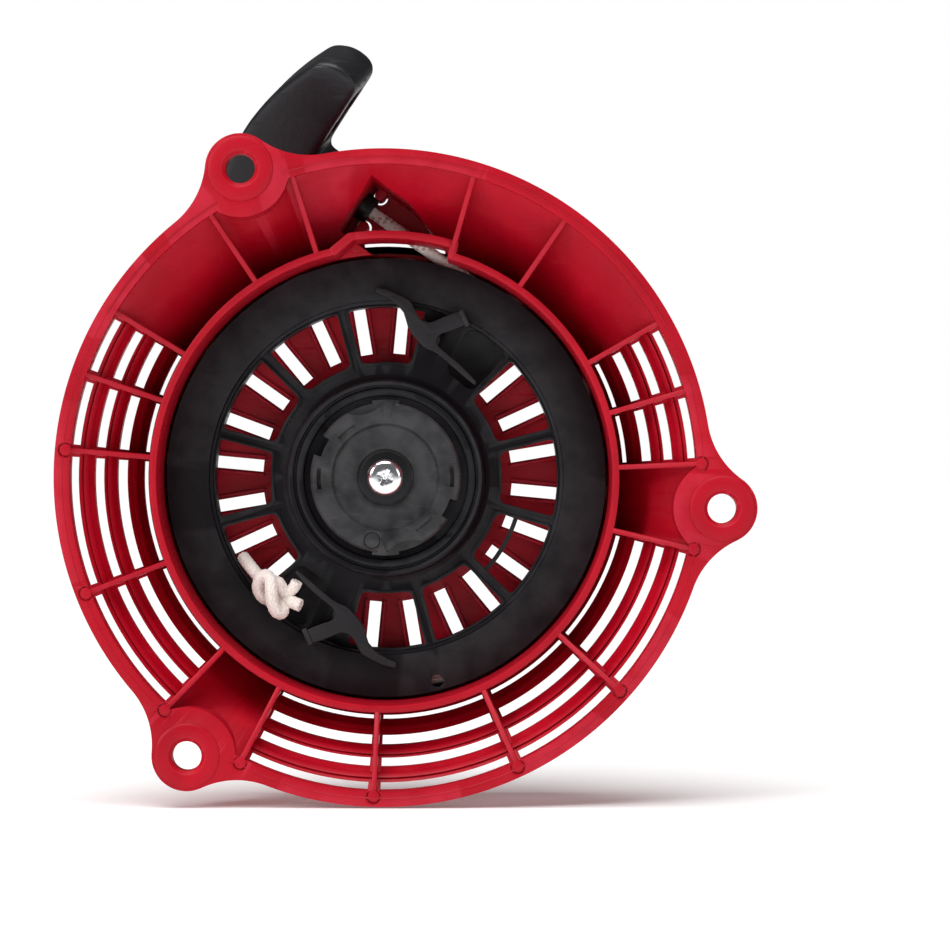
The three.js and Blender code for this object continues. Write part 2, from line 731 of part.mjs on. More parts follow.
// A flat steel strip wound in a spiral, from the post out to the reel's spring cup.
function recoilSpring() {
  const inner = 9.4;
  const outer = 24.2;
  const turns = 6;
  const strip = 0.7;
  const steps = 16 * turns;
  const outside = [];
  const inside = [];
  for (let i = 0; i <= steps; i += 1) {
    const r = inner + ((outer - inner) * i) / steps;
    const angle = (360 * turns * i) / steps;
    outside.push(polar(r + strip / 2, angle));
    inside.push(polar(r - strip / 2, angle));
  }
  return slab(polygon([...outside, ...inside.reverse()]), SPRING_CUP_FLOOR + 0.6, HUB_BACK - 0.4);
}

// ---------------------------------------------------------------- assembly

function part(name, body, material) {
  const mesh = new THREE.Mesh(geometryOf(body), material);
  mesh.name = name;
  return mesh;
}

const starter = new THREE.Group();
starter.rotation.x = Math.PI / 2;

starter.add(
  part('starter_case', starterCase(), RED()),
  part('rope_bush', ropeBush(), BLACK()),
  part('recoil_spring', recoilSpring(), SPRING_STEEL()),
  part('reel', reel(), BLACK()),
  part('rope_winding', ropeWinding(), ROPE_WHITE()),
  part('rope_span', onRope(ROPE_R, -2, 50, 8), ROPE_WHITE()),
  part('rope_lead', onRope(ROPE_R, 50 + RUN_GAP, GRIP_CENTRE + CHAMBER.low + 1.1, 8),
    ROPE_WHITE()),
  part('rope_anchor', ropeAnchor(), ROPE_WHITE()),
  part('rope_knot', ropeKnot(), ROPE_WHITE()),
  part('rope_tail', ropeTail(), ROPE_WHITE()),
  part('thrust_washer', thrustWasher(), DARK_STEEL()),
  part('ratchet_guide', ratchetGuide(), GUIDE_BLACK()),
  part('friction_spring', frictionSpring(), SPRING_STEEL()),
  part('centre_washer', centreWasher(), DARK_STEEL()),
  part('centre_screw', centreScrew(), BRIGHT_STEEL()),
);
[0, 180].forEach((half, i) => {
  starter.add(part(`pawl_${i + 1}`, pawl(half), PAWL_GREY()));
});

// The grip hangs on the rope's line, turned about the rope so that one end comes forward.
const grip = new THREE.Group();
const gripAlong = new THREE.Vector3(ALONG.x, ALONG.y, 0);
const gripBar = new THREE.Vector3(ACROSS.x, ACROSS.y, 0)
  .multiplyScalar(Math.cos(rad(GRIP_TILT)))
  .setZ(Math.sin(rad(GRIP_TILT)));
const gripFace = gripBar.clone().cross(gripAlong);
grip.applyMatrix4(new THREE.Matrix4().makeBasis(gripBar, gripAlong, gripFace)
  .setPosition(ropePoint(GRIP_CENTRE)));
grip.add(
  part('grip_body', gripBody(), BLACK()),
  part('grip_retainer', gripRetainer(), BRIGHT_STEEL()),
  part('grip_knot', gripKnot(), ROPE_WHITE()),
);
starter.add(grip);

const assembly = new THREE.Group();
assembly.add(starter);

export default assembly;
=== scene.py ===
# %% [markdown]
# A recoil starter, built as a lesson
#
# The frame holds the working parts: the case, the reel, the pawls and the grip at their real
# sizes, with their joints. This notebook puts a finished surface on each of them. It starts by
# loading that frame, because every size and place below is taken from it.

# %% Load the frame
import json
import math
import bpy
from mathutils import Matrix, Vector


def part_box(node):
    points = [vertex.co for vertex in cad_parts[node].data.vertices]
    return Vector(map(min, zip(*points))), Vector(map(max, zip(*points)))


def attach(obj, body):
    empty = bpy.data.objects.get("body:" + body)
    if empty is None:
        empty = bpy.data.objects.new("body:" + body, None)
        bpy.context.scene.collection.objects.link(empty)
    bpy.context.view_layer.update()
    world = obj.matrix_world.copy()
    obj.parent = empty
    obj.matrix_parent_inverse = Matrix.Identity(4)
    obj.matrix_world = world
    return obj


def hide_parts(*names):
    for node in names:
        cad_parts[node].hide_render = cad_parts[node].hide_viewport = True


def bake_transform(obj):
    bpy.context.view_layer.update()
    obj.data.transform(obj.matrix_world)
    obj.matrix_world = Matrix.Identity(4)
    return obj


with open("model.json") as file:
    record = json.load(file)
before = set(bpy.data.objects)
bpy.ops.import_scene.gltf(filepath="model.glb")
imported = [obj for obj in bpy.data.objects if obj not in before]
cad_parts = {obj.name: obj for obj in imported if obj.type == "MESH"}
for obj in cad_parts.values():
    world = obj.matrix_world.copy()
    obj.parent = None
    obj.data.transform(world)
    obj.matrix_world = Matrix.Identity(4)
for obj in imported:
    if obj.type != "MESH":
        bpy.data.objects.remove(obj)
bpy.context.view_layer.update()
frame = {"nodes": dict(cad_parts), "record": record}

MM = 0.001
FULL_TURN = 360
print("frame loaded:", len(frame["nodes"]), "nodes")

# %% [markdown]
# Sizes from the frame
#
# The reel's axis is the Y axis, and the plane y = 0 is where the starter meets the engine. Depths
# are measured from that plane into the case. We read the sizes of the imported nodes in
# millimetres, so that a change to the frame moves everything here with it.

# %% Read sizes and joints
JOINTS = {joint["name"]: joint for joint in frame["record"]["behaviour"]["joints"]}
MOUNTS = {mount["name"]: mount for mount in frame["record"]["mounts"]}


def span(node):
    """Lowest and highest corner of a node, in millimetres."""
    low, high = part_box(node)
    return Vector(low) / MM, Vector(high) / MM


def angle_of(vector):
    """The angle of a place in the XZ plane, in degrees, turning from X towards Z."""
    return math.degrees(math.atan2(vector[2], vector[0]))


REEL_LOW, REEL_HIGH = span("reel")
WINDING_LOW, WINDING_HIGH = span("rope_winding")
GUIDE_LOW, GUIDE_HIGH = span("ratchet_guide")
PAWL_LOW, PAWL_HIGH = span("pawl_1")
SCREW_LOW, SCREW_HIGH = span("centre_screw")
WASHER_LOW = span("centre_washer")[0]
CROWN_DEPTH = span("starter_case")[1].y
EAR_ANGLES = [angle_of(MOUNTS[f"ear_face_{i}"]["pos_m"]) for i in (1, 2, 3)]
ROPE_ANGLE = angle_of(JOINTS["grip_pull"]["axis"])
ROPE_DEPTH = (WINDING_LOW.y + WINDING_HIGH.y) / 2
print("crown depth", round(CROWN_DEPTH, 1), "rope angle", round(ROPE_ANGLE, 1))

# %% [markdown]
# Camera, floor and light
#
# The camera looks at the open side square on, from nearly a metre away, so that the round shapes
# stay round. The floor is a wide pale sheet just under the flange. A soft sun shines from above,
# a large lamp stands on the left and a weaker one on the right, as round a product table.

# %% Camera and stage
CAMERA_DISTANCE = 0.9
PICTURE_WIDTH = 0.2507
CAMERA_ASIDE = 0.0243
CAMERA_HEIGHT = 0.0007
SENSOR_WIDTH = 36
FLANGE_R = 87.0
FLOOR_GAP = 0.4
FLOOR_LIFT = 0.12


def deselect():
    """Operators act on all that is selected, so each step starts with nothing selected."""
    if bpy.context.object and bpy.context.object.mode != "OBJECT":
        bpy.ops.object.mode_set(mode="OBJECT")
    bpy.ops.object.select_all(action="DESELECT")


def pick(obj):
    """Selects one object alone and makes it the active one."""
    deselect()
    obj.select_set(True)
    bpy.context.view_layer.objects.active = obj


def make_camera():
    bpy.ops.object.camera_add(
        location=(CAMERA_ASIDE, -CAMERA_DISTANCE, CAMERA_HEIGHT), rotation=(math.pi / 2, 0, 0))
    camera = bpy.context.object
    camera.data.sensor_width = SENSOR_WIDTH
    camera.data.lens = SENSOR_WIDTH * CAMERA_DISTANCE / PICTURE_WIDTH
    camera.data.clip_end = 100
    bpy.context.scene.camera = camera


def make_floor():
    """A wide floor that glows faintly, so that it meets the white behind it without a line."""
    bpy.ops.mesh.primitive_plane_add(size=60, location=(0, 0, -(FLANGE_R + FLOOR_GAP) * MM))
    floor = bpy.context.object
    floor.name = "floor"
    material = bpy.data.materials.new("floor_pale")
    material.use_nodes = True
    shader = material.node_tree.nodes["Principled BSDF"]
    looks = {"Base Color": (0.98, 0.98, 0.98, 1), "Roughness": 1.0, "Specular IOR Level": 0.0,
             "Emission Color": (1, 1, 1, 1), "Emission Strength": FLOOR_LIFT}
    for label, value in looks.items():
        shader.inputs[label].default_value = value
    floor.data.materials.append(material)


def make_lamp(place, size, watts):
    bpy.ops.object.light_add(type="AREA", location=place)
    lamp = bpy.context.object
    lamp.data.shape = "DISK"
    lamp.data.size = size
    lamp.data.energy = watts
    lamp.rotation_euler = (-Vector(place)).to_track_quat("-Z", "Y").to_euler()


def make_sun(tilt, power):
    bpy.ops.object.light_add(type="SUN", location=(0, 0, 1), rotation=tilt)
    sun = bpy.context.object
    sun.data.energy = power
    sun.data.angle = math.radians(50)


def make_world(seen, given):
    """White to the camera, and a dimmer grey as light, so that black plastic stays black."""
    world = bpy.data.worlds.new("studio")
    world.use_nodes = True
    tree = world.node_tree
    shown = tree.nodes["Background"]
    shown.inputs["Color"].default_value = (1, 1, 1, 1)
    shown.inputs["Strength"].default_value = seen
    light = tree.nodes.new("ShaderNodeBackground")
    light.inputs["Strength"].default_value = given
    path = tree.nodes.new("ShaderNodeLightPath")
    mix = tree.nodes.new("ShaderNodeMixShader")
    tree.links.new(path.outputs["Is Camera Ray"], mix.inputs[0])
    tree.links.new(light.outputs[0], mix.inputs[1])
    tree.links.new(shown.outputs[0], mix.inputs[2])
    tree.links.new(mix.outputs[0], tree.nodes["World Output"].inputs["Surface"])
    bpy.context.scene.world = world


deselect()
make_camera()
make_floor()
make_world(1.0, 0.15)
make_sun((math.radians(16), math.radians(-8), 0), 2.7)
make_lamp((-0.95, -0.8, 0.5), 0.45, 5.6)
make_lamp((0.9, -0.9, 0.35), 0.5, 1.8)
bpy.context.scene.view_settings.view_transform = "Standard"
print("camera, floor, sun and two lamps made")

# %% [markdown]
# Shared surface effects
#
# Moulded plastic is never one flat colour. It has a fine grain from the mould and faint cloudy flow
# marks, and its sharp edges carry a painted highlight, a paler colour painted along them. Each
# effect is a node group with named sockets, so that every material can place it with its own
# values. The groups read object coordinates, so the patterns stay with the piece.

# %% Node helpers


class Nodes:
    """A short way to add nodes to a tree and to join them."""

    def __init__(self, tree):
        self.tree = tree

    def add(self, kind, inputs=None, **settings):
        node = self.tree.nodes.new(kind)
        for key, value in settings.items():
            setattr(node, key, value)
        return self.feed(node, inputs or {})

    def feed(self, node, inputs):
        """Links a socket, or sets a constant, on each named input."""
        for key, value in inputs.items():
            if isinstance(value, bpy.types.NodeSocket):
                self.tree.links.new(value, node.inputs[key])
            else:
                node.inputs[key].default_value = value
        return node

    def place(self):
        return self.add("ShaderNodeTexCoord").outputs["Object"]

    def noise(self, vector, scale, detail, distortion=0.0):
        return self.add("ShaderNodeTexNoise", {
            "Vector": vector, "Scale": scale, "Detail": detail,
            "Distortion": distortion}).outputs["Fac"]

    def math(self, operation, *values):
        return self.add("ShaderNodeMath", dict(enumerate(values)),
                        operation=operation).outputs["Value"]

    def remap(self, value, low, high, to_low=0.0, to_high=1.0):
        return self.add("ShaderNodeMapRange", {
            "Value": value, "From Min": low, "From Max": high,
            "To Min": to_low, "To Max": to_high}).outputs["Result"]

    def mix(self, factor, one, two):
        return self.add("ShaderNodeMix", {"Factor": factor, 6: one, 7: two},
                        data_type="RGBA").outputs[2]

    def bump(self, height, strength, distance):
        return self.add("ShaderNodeBump", {
            "Height": height, "Strength": strength, "Distance": distance}).outputs["Normal"]


def new_group(name, inputs, outputs):
    tree = bpy.data.node_groups.new(name, "ShaderNodeTree")
    for label, value in inputs.items():
        kind = "NodeSocketColor" if isinstance(value, tuple) else "NodeSocketFloat"
        socket = tree.interface.new_socket(label, in_out="INPUT", socket_type=kind)
        socket.default_value = value
    for label, kind in outputs.items():
        tree.interface.new_socket(label, in_out="OUTPUT", socket_type=kind)
    nodes = Nodes(tree)
    return tree, nodes, nodes.add("NodeGroupInput"), nodes.add("NodeGroupOutput")


print("node helpers ready")

# %% Grain, flow marks and painted edge highlights


def grain_group():
    """Fine moulded grain with sparse scuffs. Height for a Bump node, Mask for the roughness."""
    tree, nodes, given, out = new_group(
        "moulded_grain", {"Scale": 900.0, "Scuffs": 0.3},
        {"Height": "NodeSocketFloat", "Mask": "NodeSocketFloat"})
    place = nodes.place()
    fine = nodes.noise(place, given.outputs["Scale"], 3.0)
    stretched = nodes.add("ShaderNodeMapping", {"Vector": place, "Scale": (1.0, 1.0, 7.0)})
    scuff = nodes.noise(stretched.outputs["Vector"], 120.0, 6.0)
    mask = nodes.math("MULTIPLY", nodes.remap(scuff, 0.58, 0.72), given.outputs["Scuffs"])
    nodes.feed(out, {"Height": nodes.math("SUBTRACT", fine, mask), "Mask": mask})
    return tree


def tone_group():
    """Cloudy flow marks: a colour that drifts a little darker and lighter over the piece."""
    tree, nodes, given, out = new_group(
        "flow_marks", {"Color": (0.5, 0.5, 0.5, 1.0), "Amount": 0.15},
        {"Color": "NodeSocketColor", "Cloud": "NodeSocketFloat"})
    cloud = nodes.noise(nodes.place(), 38.0, 4.0, 0.8)
    shift = nodes.math("MULTIPLY", nodes.remap(cloud, 0.3, 0.7, -1.0, 1.0),
                       given.outputs["Amount"])
    colour = nodes.add("ShaderNodeHueSaturation", {
        "Color": given.outputs["Color"], "Value": nodes.math("ADD", shift, 1.0)})
    nodes.feed(out, {"Color": colour.outputs["Color"], "Cloud": cloud})
    return tree


def edge_group():
    """Painted edge highlight: mixes in a paler colour where the surface is sharply convex, broken
    up by noise.
    """
    tree, nodes, given, out = new_group(
        "painted_edge_highlight",
        {"Color": (0.5, 0.5, 0.5, 1.0), "Edge Highlight Color": (0.8, 0.8, 0.8, 1.0), "Amount": 0.5},
        {"Color": "NodeSocketColor", "Mask": "NodeSocketFloat"})
    geometry = nodes.add("ShaderNodeNewGeometry")
    # The mask below picks the sharp convex edges that get the painted highlight.
    convex = nodes.remap(geometry.outputs["Pointiness"], 0.52, 0.6)
    broken = nodes.remap(nodes.noise(nodes.place(), 160.0, 4.0), 0.3, 0.6, 0.35, 1.0)
    mask = nodes.math("MULTIPLY", nodes.math("MULTIPLY", convex, broken),
                      given.outputs["Amount"])
    nodes.feed(out, {"Color": nodes.mix(mask, given.outputs["Color"],
                                        given.outputs["Edge Highlight Color"]), "Mask": mask})
    return tree


GRAIN = grain_group()
TONE = tone_group()
EDGES = edge_group()
print("shared effects:", GRAIN.name, TONE.name, EDGES.name)

# %% [markdown]
# Plastics and steels
#
# One function makes every plastic: flow marks, then a painted highlight on the sharp edges, then
# grain in the bump and the roughness. The steels are metallic, with fine turning marks in their
# roughness.

# %% Materials


def new_material(name):
    """A material, the helper that adds nodes to it, and its shader."""
    material = bpy.data.materials.new(name)
    material.use_nodes = True
    return material, Nodes(material.node_tree), material.node_tree.nodes["Principled BSDF"]


def plastic(name, colour, edge_highlight_colour, roughness, gloss, edge_highlight_amount=0.5, grain=0.25, flow=0.14):
    material, nodes, shader = new_material(name)
    tone = nodes.add("ShaderNodeGroup", {"Color": (*colour, 1), "Amount": flow}, node_tree=TONE)
    # The second colour is mixed in on sharp convex edges as a painted highlight.
    edges = nodes.add("ShaderNodeGroup", {
        "Color": tone.outputs["Color"], "Edge Highlight Color": (*edge_highlight_colour, 1), "Amount": edge_highlight_amount},
        node_tree=EDGES)
    surface = nodes.add("ShaderNodeGroup", node_tree=GRAIN)
    rough = nodes.remap(tone.outputs["Cloud"], 0.3, 0.7, roughness - 0.06, roughness + 0.08)
    nodes.feed(shader, {
        "Base Color": edges.outputs["Color"],
        "Roughness": nodes.math("ADD", rough, surface.outputs["Mask"]),
        "Normal": nodes.bump(surface.outputs["Height"], grain, 0.0002),
        "Specular IOR Level": gloss})
    return material


def steel(name, colour, roughness, marks=0.1):
    material, nodes, shader = new_material(name)
    tone = nodes.add("ShaderNodeGroup", {"Color": (*colour, 1), "Amount": 0.1}, node_tree=TONE)
    surface = nodes.add("ShaderNodeGroup", {"Scale": 2500.0}, node_tree=GRAIN)
    height = surface.outputs["Height"]
    nodes.feed(shader, {
        "Metallic": 1.0,
        "Base Color": tone.outputs["Color"],
        "Roughness": nodes.math("MULTIPLY_ADD", height, marks, roughness),
        "Normal": nodes.bump(height, 0.1, 0.0001)})
    return material


# Each plastic's second colour is the painted highlight along its edges.
CASE_RED = plastic("case_red", (0.43, 0.001, 0.012), (0.62, 0.030, 0.060), 0.42, 0.2, grain=0.3)
REEL_BLACK = plastic("reel_black", (0.0075, 0.0064, 0.0082), (0.07, 0.07, 0.075), 0.42, 0.14,
                     edge_highlight_amount=0.3, flow=0.05)
GUIDE_BLACK = plastic("guide_black", (0.004, 0.004, 0.005), (0.1, 0.1, 0.105), 0.22, 0.2,
                      grain=0.1, flow=0.03)
PAWL_GREY = plastic("pawl_grey", (0.013, 0.012, 0.014), (0.06, 0.06, 0.065), 0.48, 0.3, grain=0.5)
GRIP_BLACK = plastic("grip_black", (0.010, 0.010, 0.013), (0.03, 0.03, 0.033), 0.38, 0.35)
BUSH_BLACK = plastic("bush_black", (0.004, 0.004, 0.005), (0.03, 0.03, 0.03), 0.35, 0.3)
BRIGHT_STEEL = steel("bright_steel", (0.85, 0.86, 0.88), 0.12)
DARK_STEEL = steel("dark_steel", (0.03, 0.03, 0.032), 0.35)
SPRING_STEEL = steel("spring_steel", (0.30, 0.28, 0.26), 0.3)
print("plastics and steels made")

# %% [markdown]
# Rope
#
# The rope is a braid of sixteen flat yarns, eight turning each way. Two of them are brown tracer
# yarns. The colour comes from the piece's own UV map: u runs along a yarn and v says which yarn it
# is, so the tracer follows its yarn round the rope.

# %% Rope material


def rope_material():
    material, nodes, shader = new_material("rope_braid")
    uv = nodes.add("ShaderNodeUVMap", uv_map="yarn").outputs["UV"]
    split = nodes.add("ShaderNodeSeparateXYZ", {"Vector": uv})
    tracer = nodes.math("GREATER_THAN", split.outputs["Y"], 0.86)
    place = nodes.place()
    fibre = nodes.noise(place, 2600.0, 4.0)
    soil = nodes.noise(place, 220.0, 5.0)
    clean = nodes.mix(soil, (0.95, 0.89, 0.84, 1), (0.80, 0.71, 0.65, 1))
    marked = nodes.mix(tracer, clean, (0.60, 0.42, 0.38, 1))
    shade = nodes.add("ShaderNodeHueSaturation", {
        "Color": marked, "Value": nodes.remap(fibre, 0.0, 1.0, 0.85, 1.3)})
    nodes.feed(shader, {
        "Base Color": shade.outputs["Color"], "Roughness": 0.85, "Sheen Weight": 0.3,
        "Normal": nodes.bump(fibre, 0.5, 0.0001)})
    return material


ROPE = rope_material()
print("rope material made")

# %% [markdown]
# Modelling helpers
#
# Nearly every piece here is one of three shapes: a profile turned about the axis, a flat outline
# extruded to a thickness, or a round rod. Each starts as a circle or cylinder primitive and is
# shaped in edit mode. Cuts are Boolean modifiers, and every edge gets a small bevel at the end,
# because light caught on an edge is what makes a moulding look real.

# %% Helpers: places and outlines
DOUBLES = 0.000002


def polar(r, angle, depth=0.0):
    """A point at a radius, an angle and a depth, in metres."""
    turn = math.radians(angle)
    return Vector((r * math.cos(turn), depth, r * math.sin(turn))) * MM


def lay_on(obj, points):
    """Moves the vertices of a circle primitive onto points, one by one."""
    for vertex, point in zip(obj.data.vertices, points):
        vertex.co = point


def new_loop(points, fill="NOTHING"):
    deselect()
    bpy.ops.mesh.primitive_circle_add(vertices=len(points), radius=0.01, fill_type=fill)
    obj = bpy.context.object
    lay_on(obj, points)
    return obj


def edit(obj):
    pick(obj)
    bpy.ops.object.mode_set(mode="EDIT")
    bpy.ops.mesh.select_all(action="SELECT")


def push(x, y, z):
    """Extrudes what is selected in edit mode, by a move in millimetres."""
    bpy.ops.mesh.extrude_region_move(
        TRANSFORM_OT_translate={"value": (x * MM, y * MM, z * MM)})


def close_mesh(name, obj):
    """Merges doubles, turns the faces outwards and leaves edit mode."""
    bpy.ops.mesh.select_all(action="SELECT")
    bpy.ops.mesh.remove_doubles(threshold=DOUBLES)
    bpy.ops.mesh.normals_make_consistent(inside=False)
    bpy.ops.object.mode_set(mode="OBJECT")
    obj.name = name
    return obj


print("outline helpers ready, doubles merge within", DOUBLES / MM, "mm")

# %% Helpers: turn, extrude, rod


def turned(name, profile, sides, start=0.0, sweep=FULL_TURN):
    """A closed profile of (radius, depth) points spun about the reel's axis."""
    obj = new_loop([polar(r, start, depth) for r, depth in profile])
    edit(obj)
    bpy.ops.mesh.spin(steps=sides, angle=math.radians(sweep), center=(0, 0, 0), axis=(0, 1, 0))
    bpy.ops.mesh.select_all(action="SELECT")
    bpy.ops.mesh.remove_doubles(threshold=DOUBLES)
    if sweep < FULL_TURN:
        bpy.ops.mesh.select_all(action="DESELECT")
        bpy.ops.mesh.select_non_manifold()
        bpy.ops.mesh.fill_holes(sides=0)
    return close_mesh(name, obj)


def extruded(name, outline, front, back):
    """A flat outline of (x, z) points extruded between two depths."""
    obj = new_loop([Vector((x, front, z)) * MM for x, z in outline], fill="NGON")
    edit(obj)
    push(0, back - front, 0)
    return close_mesh(name, obj)


def rod(name, centre, r, front, back, sides=48):
    """A round rod along the depth, at an (x, z) place."""
    deselect()
    bpy.ops.mesh.primitive_cylinder_add(
        vertices=sides, radius=r * MM, depth=(back - front) * MM,
        location=(centre[0] * MM, (front + back) / 2 * MM, centre[1] * MM),
        rotation=(math.pi / 2, 0, 0))
    obj = bpy.context.object
    obj.name = name
    bpy.ops.object.transform_apply(location=True, rotation=True, scale=True)
    return obj


def block(name, size, matrix):
    """A box of (x, y, z) size in millimetres, placed by a matrix."""
    deselect()
    bpy.ops.mesh.primitive_cube_add(size=MM)
    obj = bpy.context.object
    obj.name = name
    obj.matrix_world = matrix @ Matrix.Diagonal((*size, 1))
    bpy.ops.object.transform_apply(location=True, rotation=True, scale=True)
    return obj


def flat(r, angle):
    """An (x, z) place in millimetres."""
    return r * math.cos(math.radians(angle)), r * math.sin(math.radians(angle))


def slid(obj, r, angle):
    """Moves a piece from the axis out to a radius and an angle."""
    x, z = flat(r, angle)
    obj.data.transform(Matrix.Translation(Vector((x, 0, z)) * MM))
    return obj


def half_turned(outline, half):
    """The outline as it is, or half a turn round the axis."""
    turn = -1 if half else 1
    return [(turn * x, turn * z) for x, z in outline]


def square_section(inner, outer, front, back):
    """The four corners of a plain ring's cross-section."""
    return [(inner, front), (outer, front), (outer, back), (inner, back)]


print("shaping helpers ready")

# %% Helpers: join, cut, soften, finish


def apply_modifier(obj, kind, **settings):
    """Adds a modifier with its settings to the active object and applies it."""
    modifier = obj.modifiers.new(kind.lower(), kind)
    for key, value in settings.items():
        setattr(modifier, key, value)
    bpy.ops.object.modifier_apply(modifier=modifier.name)


def joined(name, objects):
    deselect()
    for obj in objects:
        obj.select_set(True)
    bpy.context.view_layer.objects.active = objects[0]
    if len(objects) > 1:
        bpy.ops.object.join()
    objects[0].name = name
    return objects[0]


def boolean(body, tools, operation="DIFFERENCE"):
    """Cuts body with the tools, or joins or intersects them, and throws the tools away."""
    tool = joined("tool", tools)
    pick(body)
    apply_modifier(body, "BOOLEAN", operation=operation, solver="EXACT",
                   use_self=len(tools) > 1, object=tool)
    bpy.data.objects.remove(tool)
    return body


def soften(obj, width, segments=2, limit=32):
    """Bevels every edge sharper than the limit and shades the rest smooth."""
    pick(obj)
    apply_modifier(obj, "BEVEL", width=width * MM, segments=segments, limit_method="ANGLE",
                   angle_limit=math.radians(limit), use_clamp_overlap=True)
    bpy.ops.object.shade_smooth_by_angle(angle=math.radians(limit))
    return obj


def dress(obj, material, body, slot, *nodes):
    """Gives a finished piece its material and its body, and hides the frame nodes that it stands
    for.
    """
    obj.data.materials.clear()
    obj.data.materials.append(material)
    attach(obj, body)
    if nodes:
        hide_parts(*nodes)
    print(obj.name, "faces:", len(obj.data.polygons))
    return obj


print("joining and cutting helpers ready")

# %% [markdown]
# The case: crown, drum and ring wall
#
# The real case is one red moulding. Its crown is a shallow drum with twenty-four radial slots,
# and the drum's wall runs forward as the ring wall round the reel. We turn the drum from one
# profile, then cut the slots with a fan of boxes. Near the rope, the ring wall steps outwards
# round the rope's way, so it is made as one long stretch, a guard and a step at each end of it.

# %% Case sizes
WALL = 2.2
CROWN_FLAT_R = 57.5
SHOULDER_R = 6.7
DRUM_R = CROWN_FLAT_R + SHOULDER_R
RING_INNER_R = 61.0
RING_OUTER_R = 63.0
DRUM_INNER_R = 62.0
RING_FRONT = 12.0
GUARD = {"from": 73.0, "to": 99.0, "inner": 64.0, "outer": 66.2, "back": 33.5}
SKIRT_TOP = 33.0
SKIRT_FOOT_R = 85.2
FLANGE_INNER_R = 83.0
FLANGE_FRONT = 0.6
FLANGE_BACK = 3.6
SLOPE = (SKIRT_TOP - FLANGE_BACK) / (SKIRT_FOOT_R - DRUM_R)


def skirt_outer(r):
    """Depth of the skirt's outer face at a radius."""
    return FLANGE_BACK + (SKIRT_FOOT_R - r) * SLOPE


def skirt_inner(r):
    """Depth of the skirt's inner face, one wall thickness inside the outer one."""
    return skirt_outer(r) - WALL * math.hypot(1, SLOPE)


def shoulder(edge_r, edge_depth, radius, steps=8):
    """Quarter round between the crown's face and the drum's side."""
    points = []
    for i in range(steps + 1):
        turn = math.pi / 2 * i / steps
        points.append((edge_r - radius + radius * math.sin(turn),
                       edge_depth - radius + radius * math.cos(turn)))
    return points


print("at the drum the skirt is", round(skirt_outer(DRUM_R), 1), "mm deep")

# %% Crown and drum
CROWN_EDGE = CROWN_DEPTH - 0.8
CROWN_SLOTS = 24
CROWN_SLOT = {"start": 24.6, "width": 3.3, "inner": 34.5, "long": 57.0, "short": 49.0}
SLOT_RIB = {"across": 2.5, "high": 1.4, "thick": 0.8, "sunk": 0.3}
SLIT = {"inner": 63.9, "outer": 65.7, "from": 75.5, "to": 95.5, "front": 40}
WIND_R = 57.6
OUTLET = {"start": 5, "widest": 36, "end": 53.5, "inner_end": 48.5, "near": -12, "far": 11,
          "narrow": 2, "depth": 45.6}


def crown_profile():
    nub = [(0, CROWN_DEPTH + 0.4), (2.2, CROWN_DEPTH + 0.4), (2.7, CROWN_DEPTH - 0.05)]
    outside = [*nub, *shoulder(DRUM_R, CROWN_EDGE, SHOULDER_R)]
    inside = shoulder(RING_INNER_R, CROWN_EDGE - WALL, SHOULDER_R - WALL)
    return [*outside, (DRUM_R, SKIRT_TOP - 1), (RING_INNER_R, SKIRT_TOP - 1),
            *reversed(inside), (0, CROWN_DEPTH - WALL)]


def crown_slot(number):
    """A slot's outer radius and its turn about the axis. Long and short slots take turns."""
    outer = CROWN_SLOT["short"] if number % 2 else CROWN_SLOT["long"]
    pitch = FULL_TURN / CROWN_SLOTS
    angle = math.radians(CROWN_SLOT["start"] + pitch * number)
    return outer, Matrix.Rotation(-angle, 4, "Y")


def crown_slot_tools():
    tools = []
    for number in range(CROWN_SLOTS):
        outer, turn = crown_slot(number)
        length = outer - CROWN_SLOT["inner"]
        place = Matrix.Translation(Vector((outer - length / 2, CROWN_DEPTH, 0)) * MM)
        tools.append(block("slot", (length, 12, CROWN_SLOT["width"]), turn @ place))
    return tools


def rope_plan(along, across=0.0):
    """An (x, z) place on the rope's line: along it from the reel, and across it."""
    way, side = flat(1, ROPE_ANGLE), flat(1, ROPE_ANGLE - 90)
    return (side[0] * (WIND_R + across) + way[0] * along,
            side[1] * (WIND_R + across) + way[1] * along)


def outlet_outline(inset):
    """The rope outlet's outline: a wedge along the rope, whose far wall is twice as thick."""
    start, end = OUTLET["start"], OUTLET["inner_end"] if inset else OUTLET["end"]
    near, far = OUTLET["near"] + inset, OUTLET["far"] - 2 * inset
    return [rope_plan(start, near), rope_plan(end, near), rope_plan(end, far),
            rope_plan(OUTLET["widest"], far), rope_plan(start, OUTLET["narrow"] - 2 * inset)]


def sector(name, inner, outer, start, stop, front, back, step=3):
    """A stretch of ring with square corners."""
    steps = max(2, round((stop - start) / step))
    return turned(name, square_section(inner, outer, front, back), steps, start, stop - start)


def slot_ribs():
    """Thin ribs that stiffen both edges of each slot, on the inner face of the crown."""
    ribs = []
    for number in range(CROWN_SLOTS):
        outer, turn = crown_slot(number)
        length = outer - CROWN_SLOT["inner"] + 1
        for side in (-1, 1):
            spot = Vector((outer - length / 2 + 0.5, CROWN_EDGE - WALL - SLOT_RIB["sunk"],
                           side * SLOT_RIB["across"])) * MM
            rib_block = block("rib", (length, SLOT_RIB["high"], SLOT_RIB["thick"]),
                              turn @ Matrix.Translation(spot))
            ribs.append(soften(rib_block, 0.2, 1))
    return ribs


def slit_tool():
    """Cuts the curved see-through slit behind the rope's guard."""
    return sector("slit", SLIT["inner"], SLIT["outer"], SLIT["from"], SLIT["to"], SLIT["front"],
                  CROWN_DEPTH + 2)


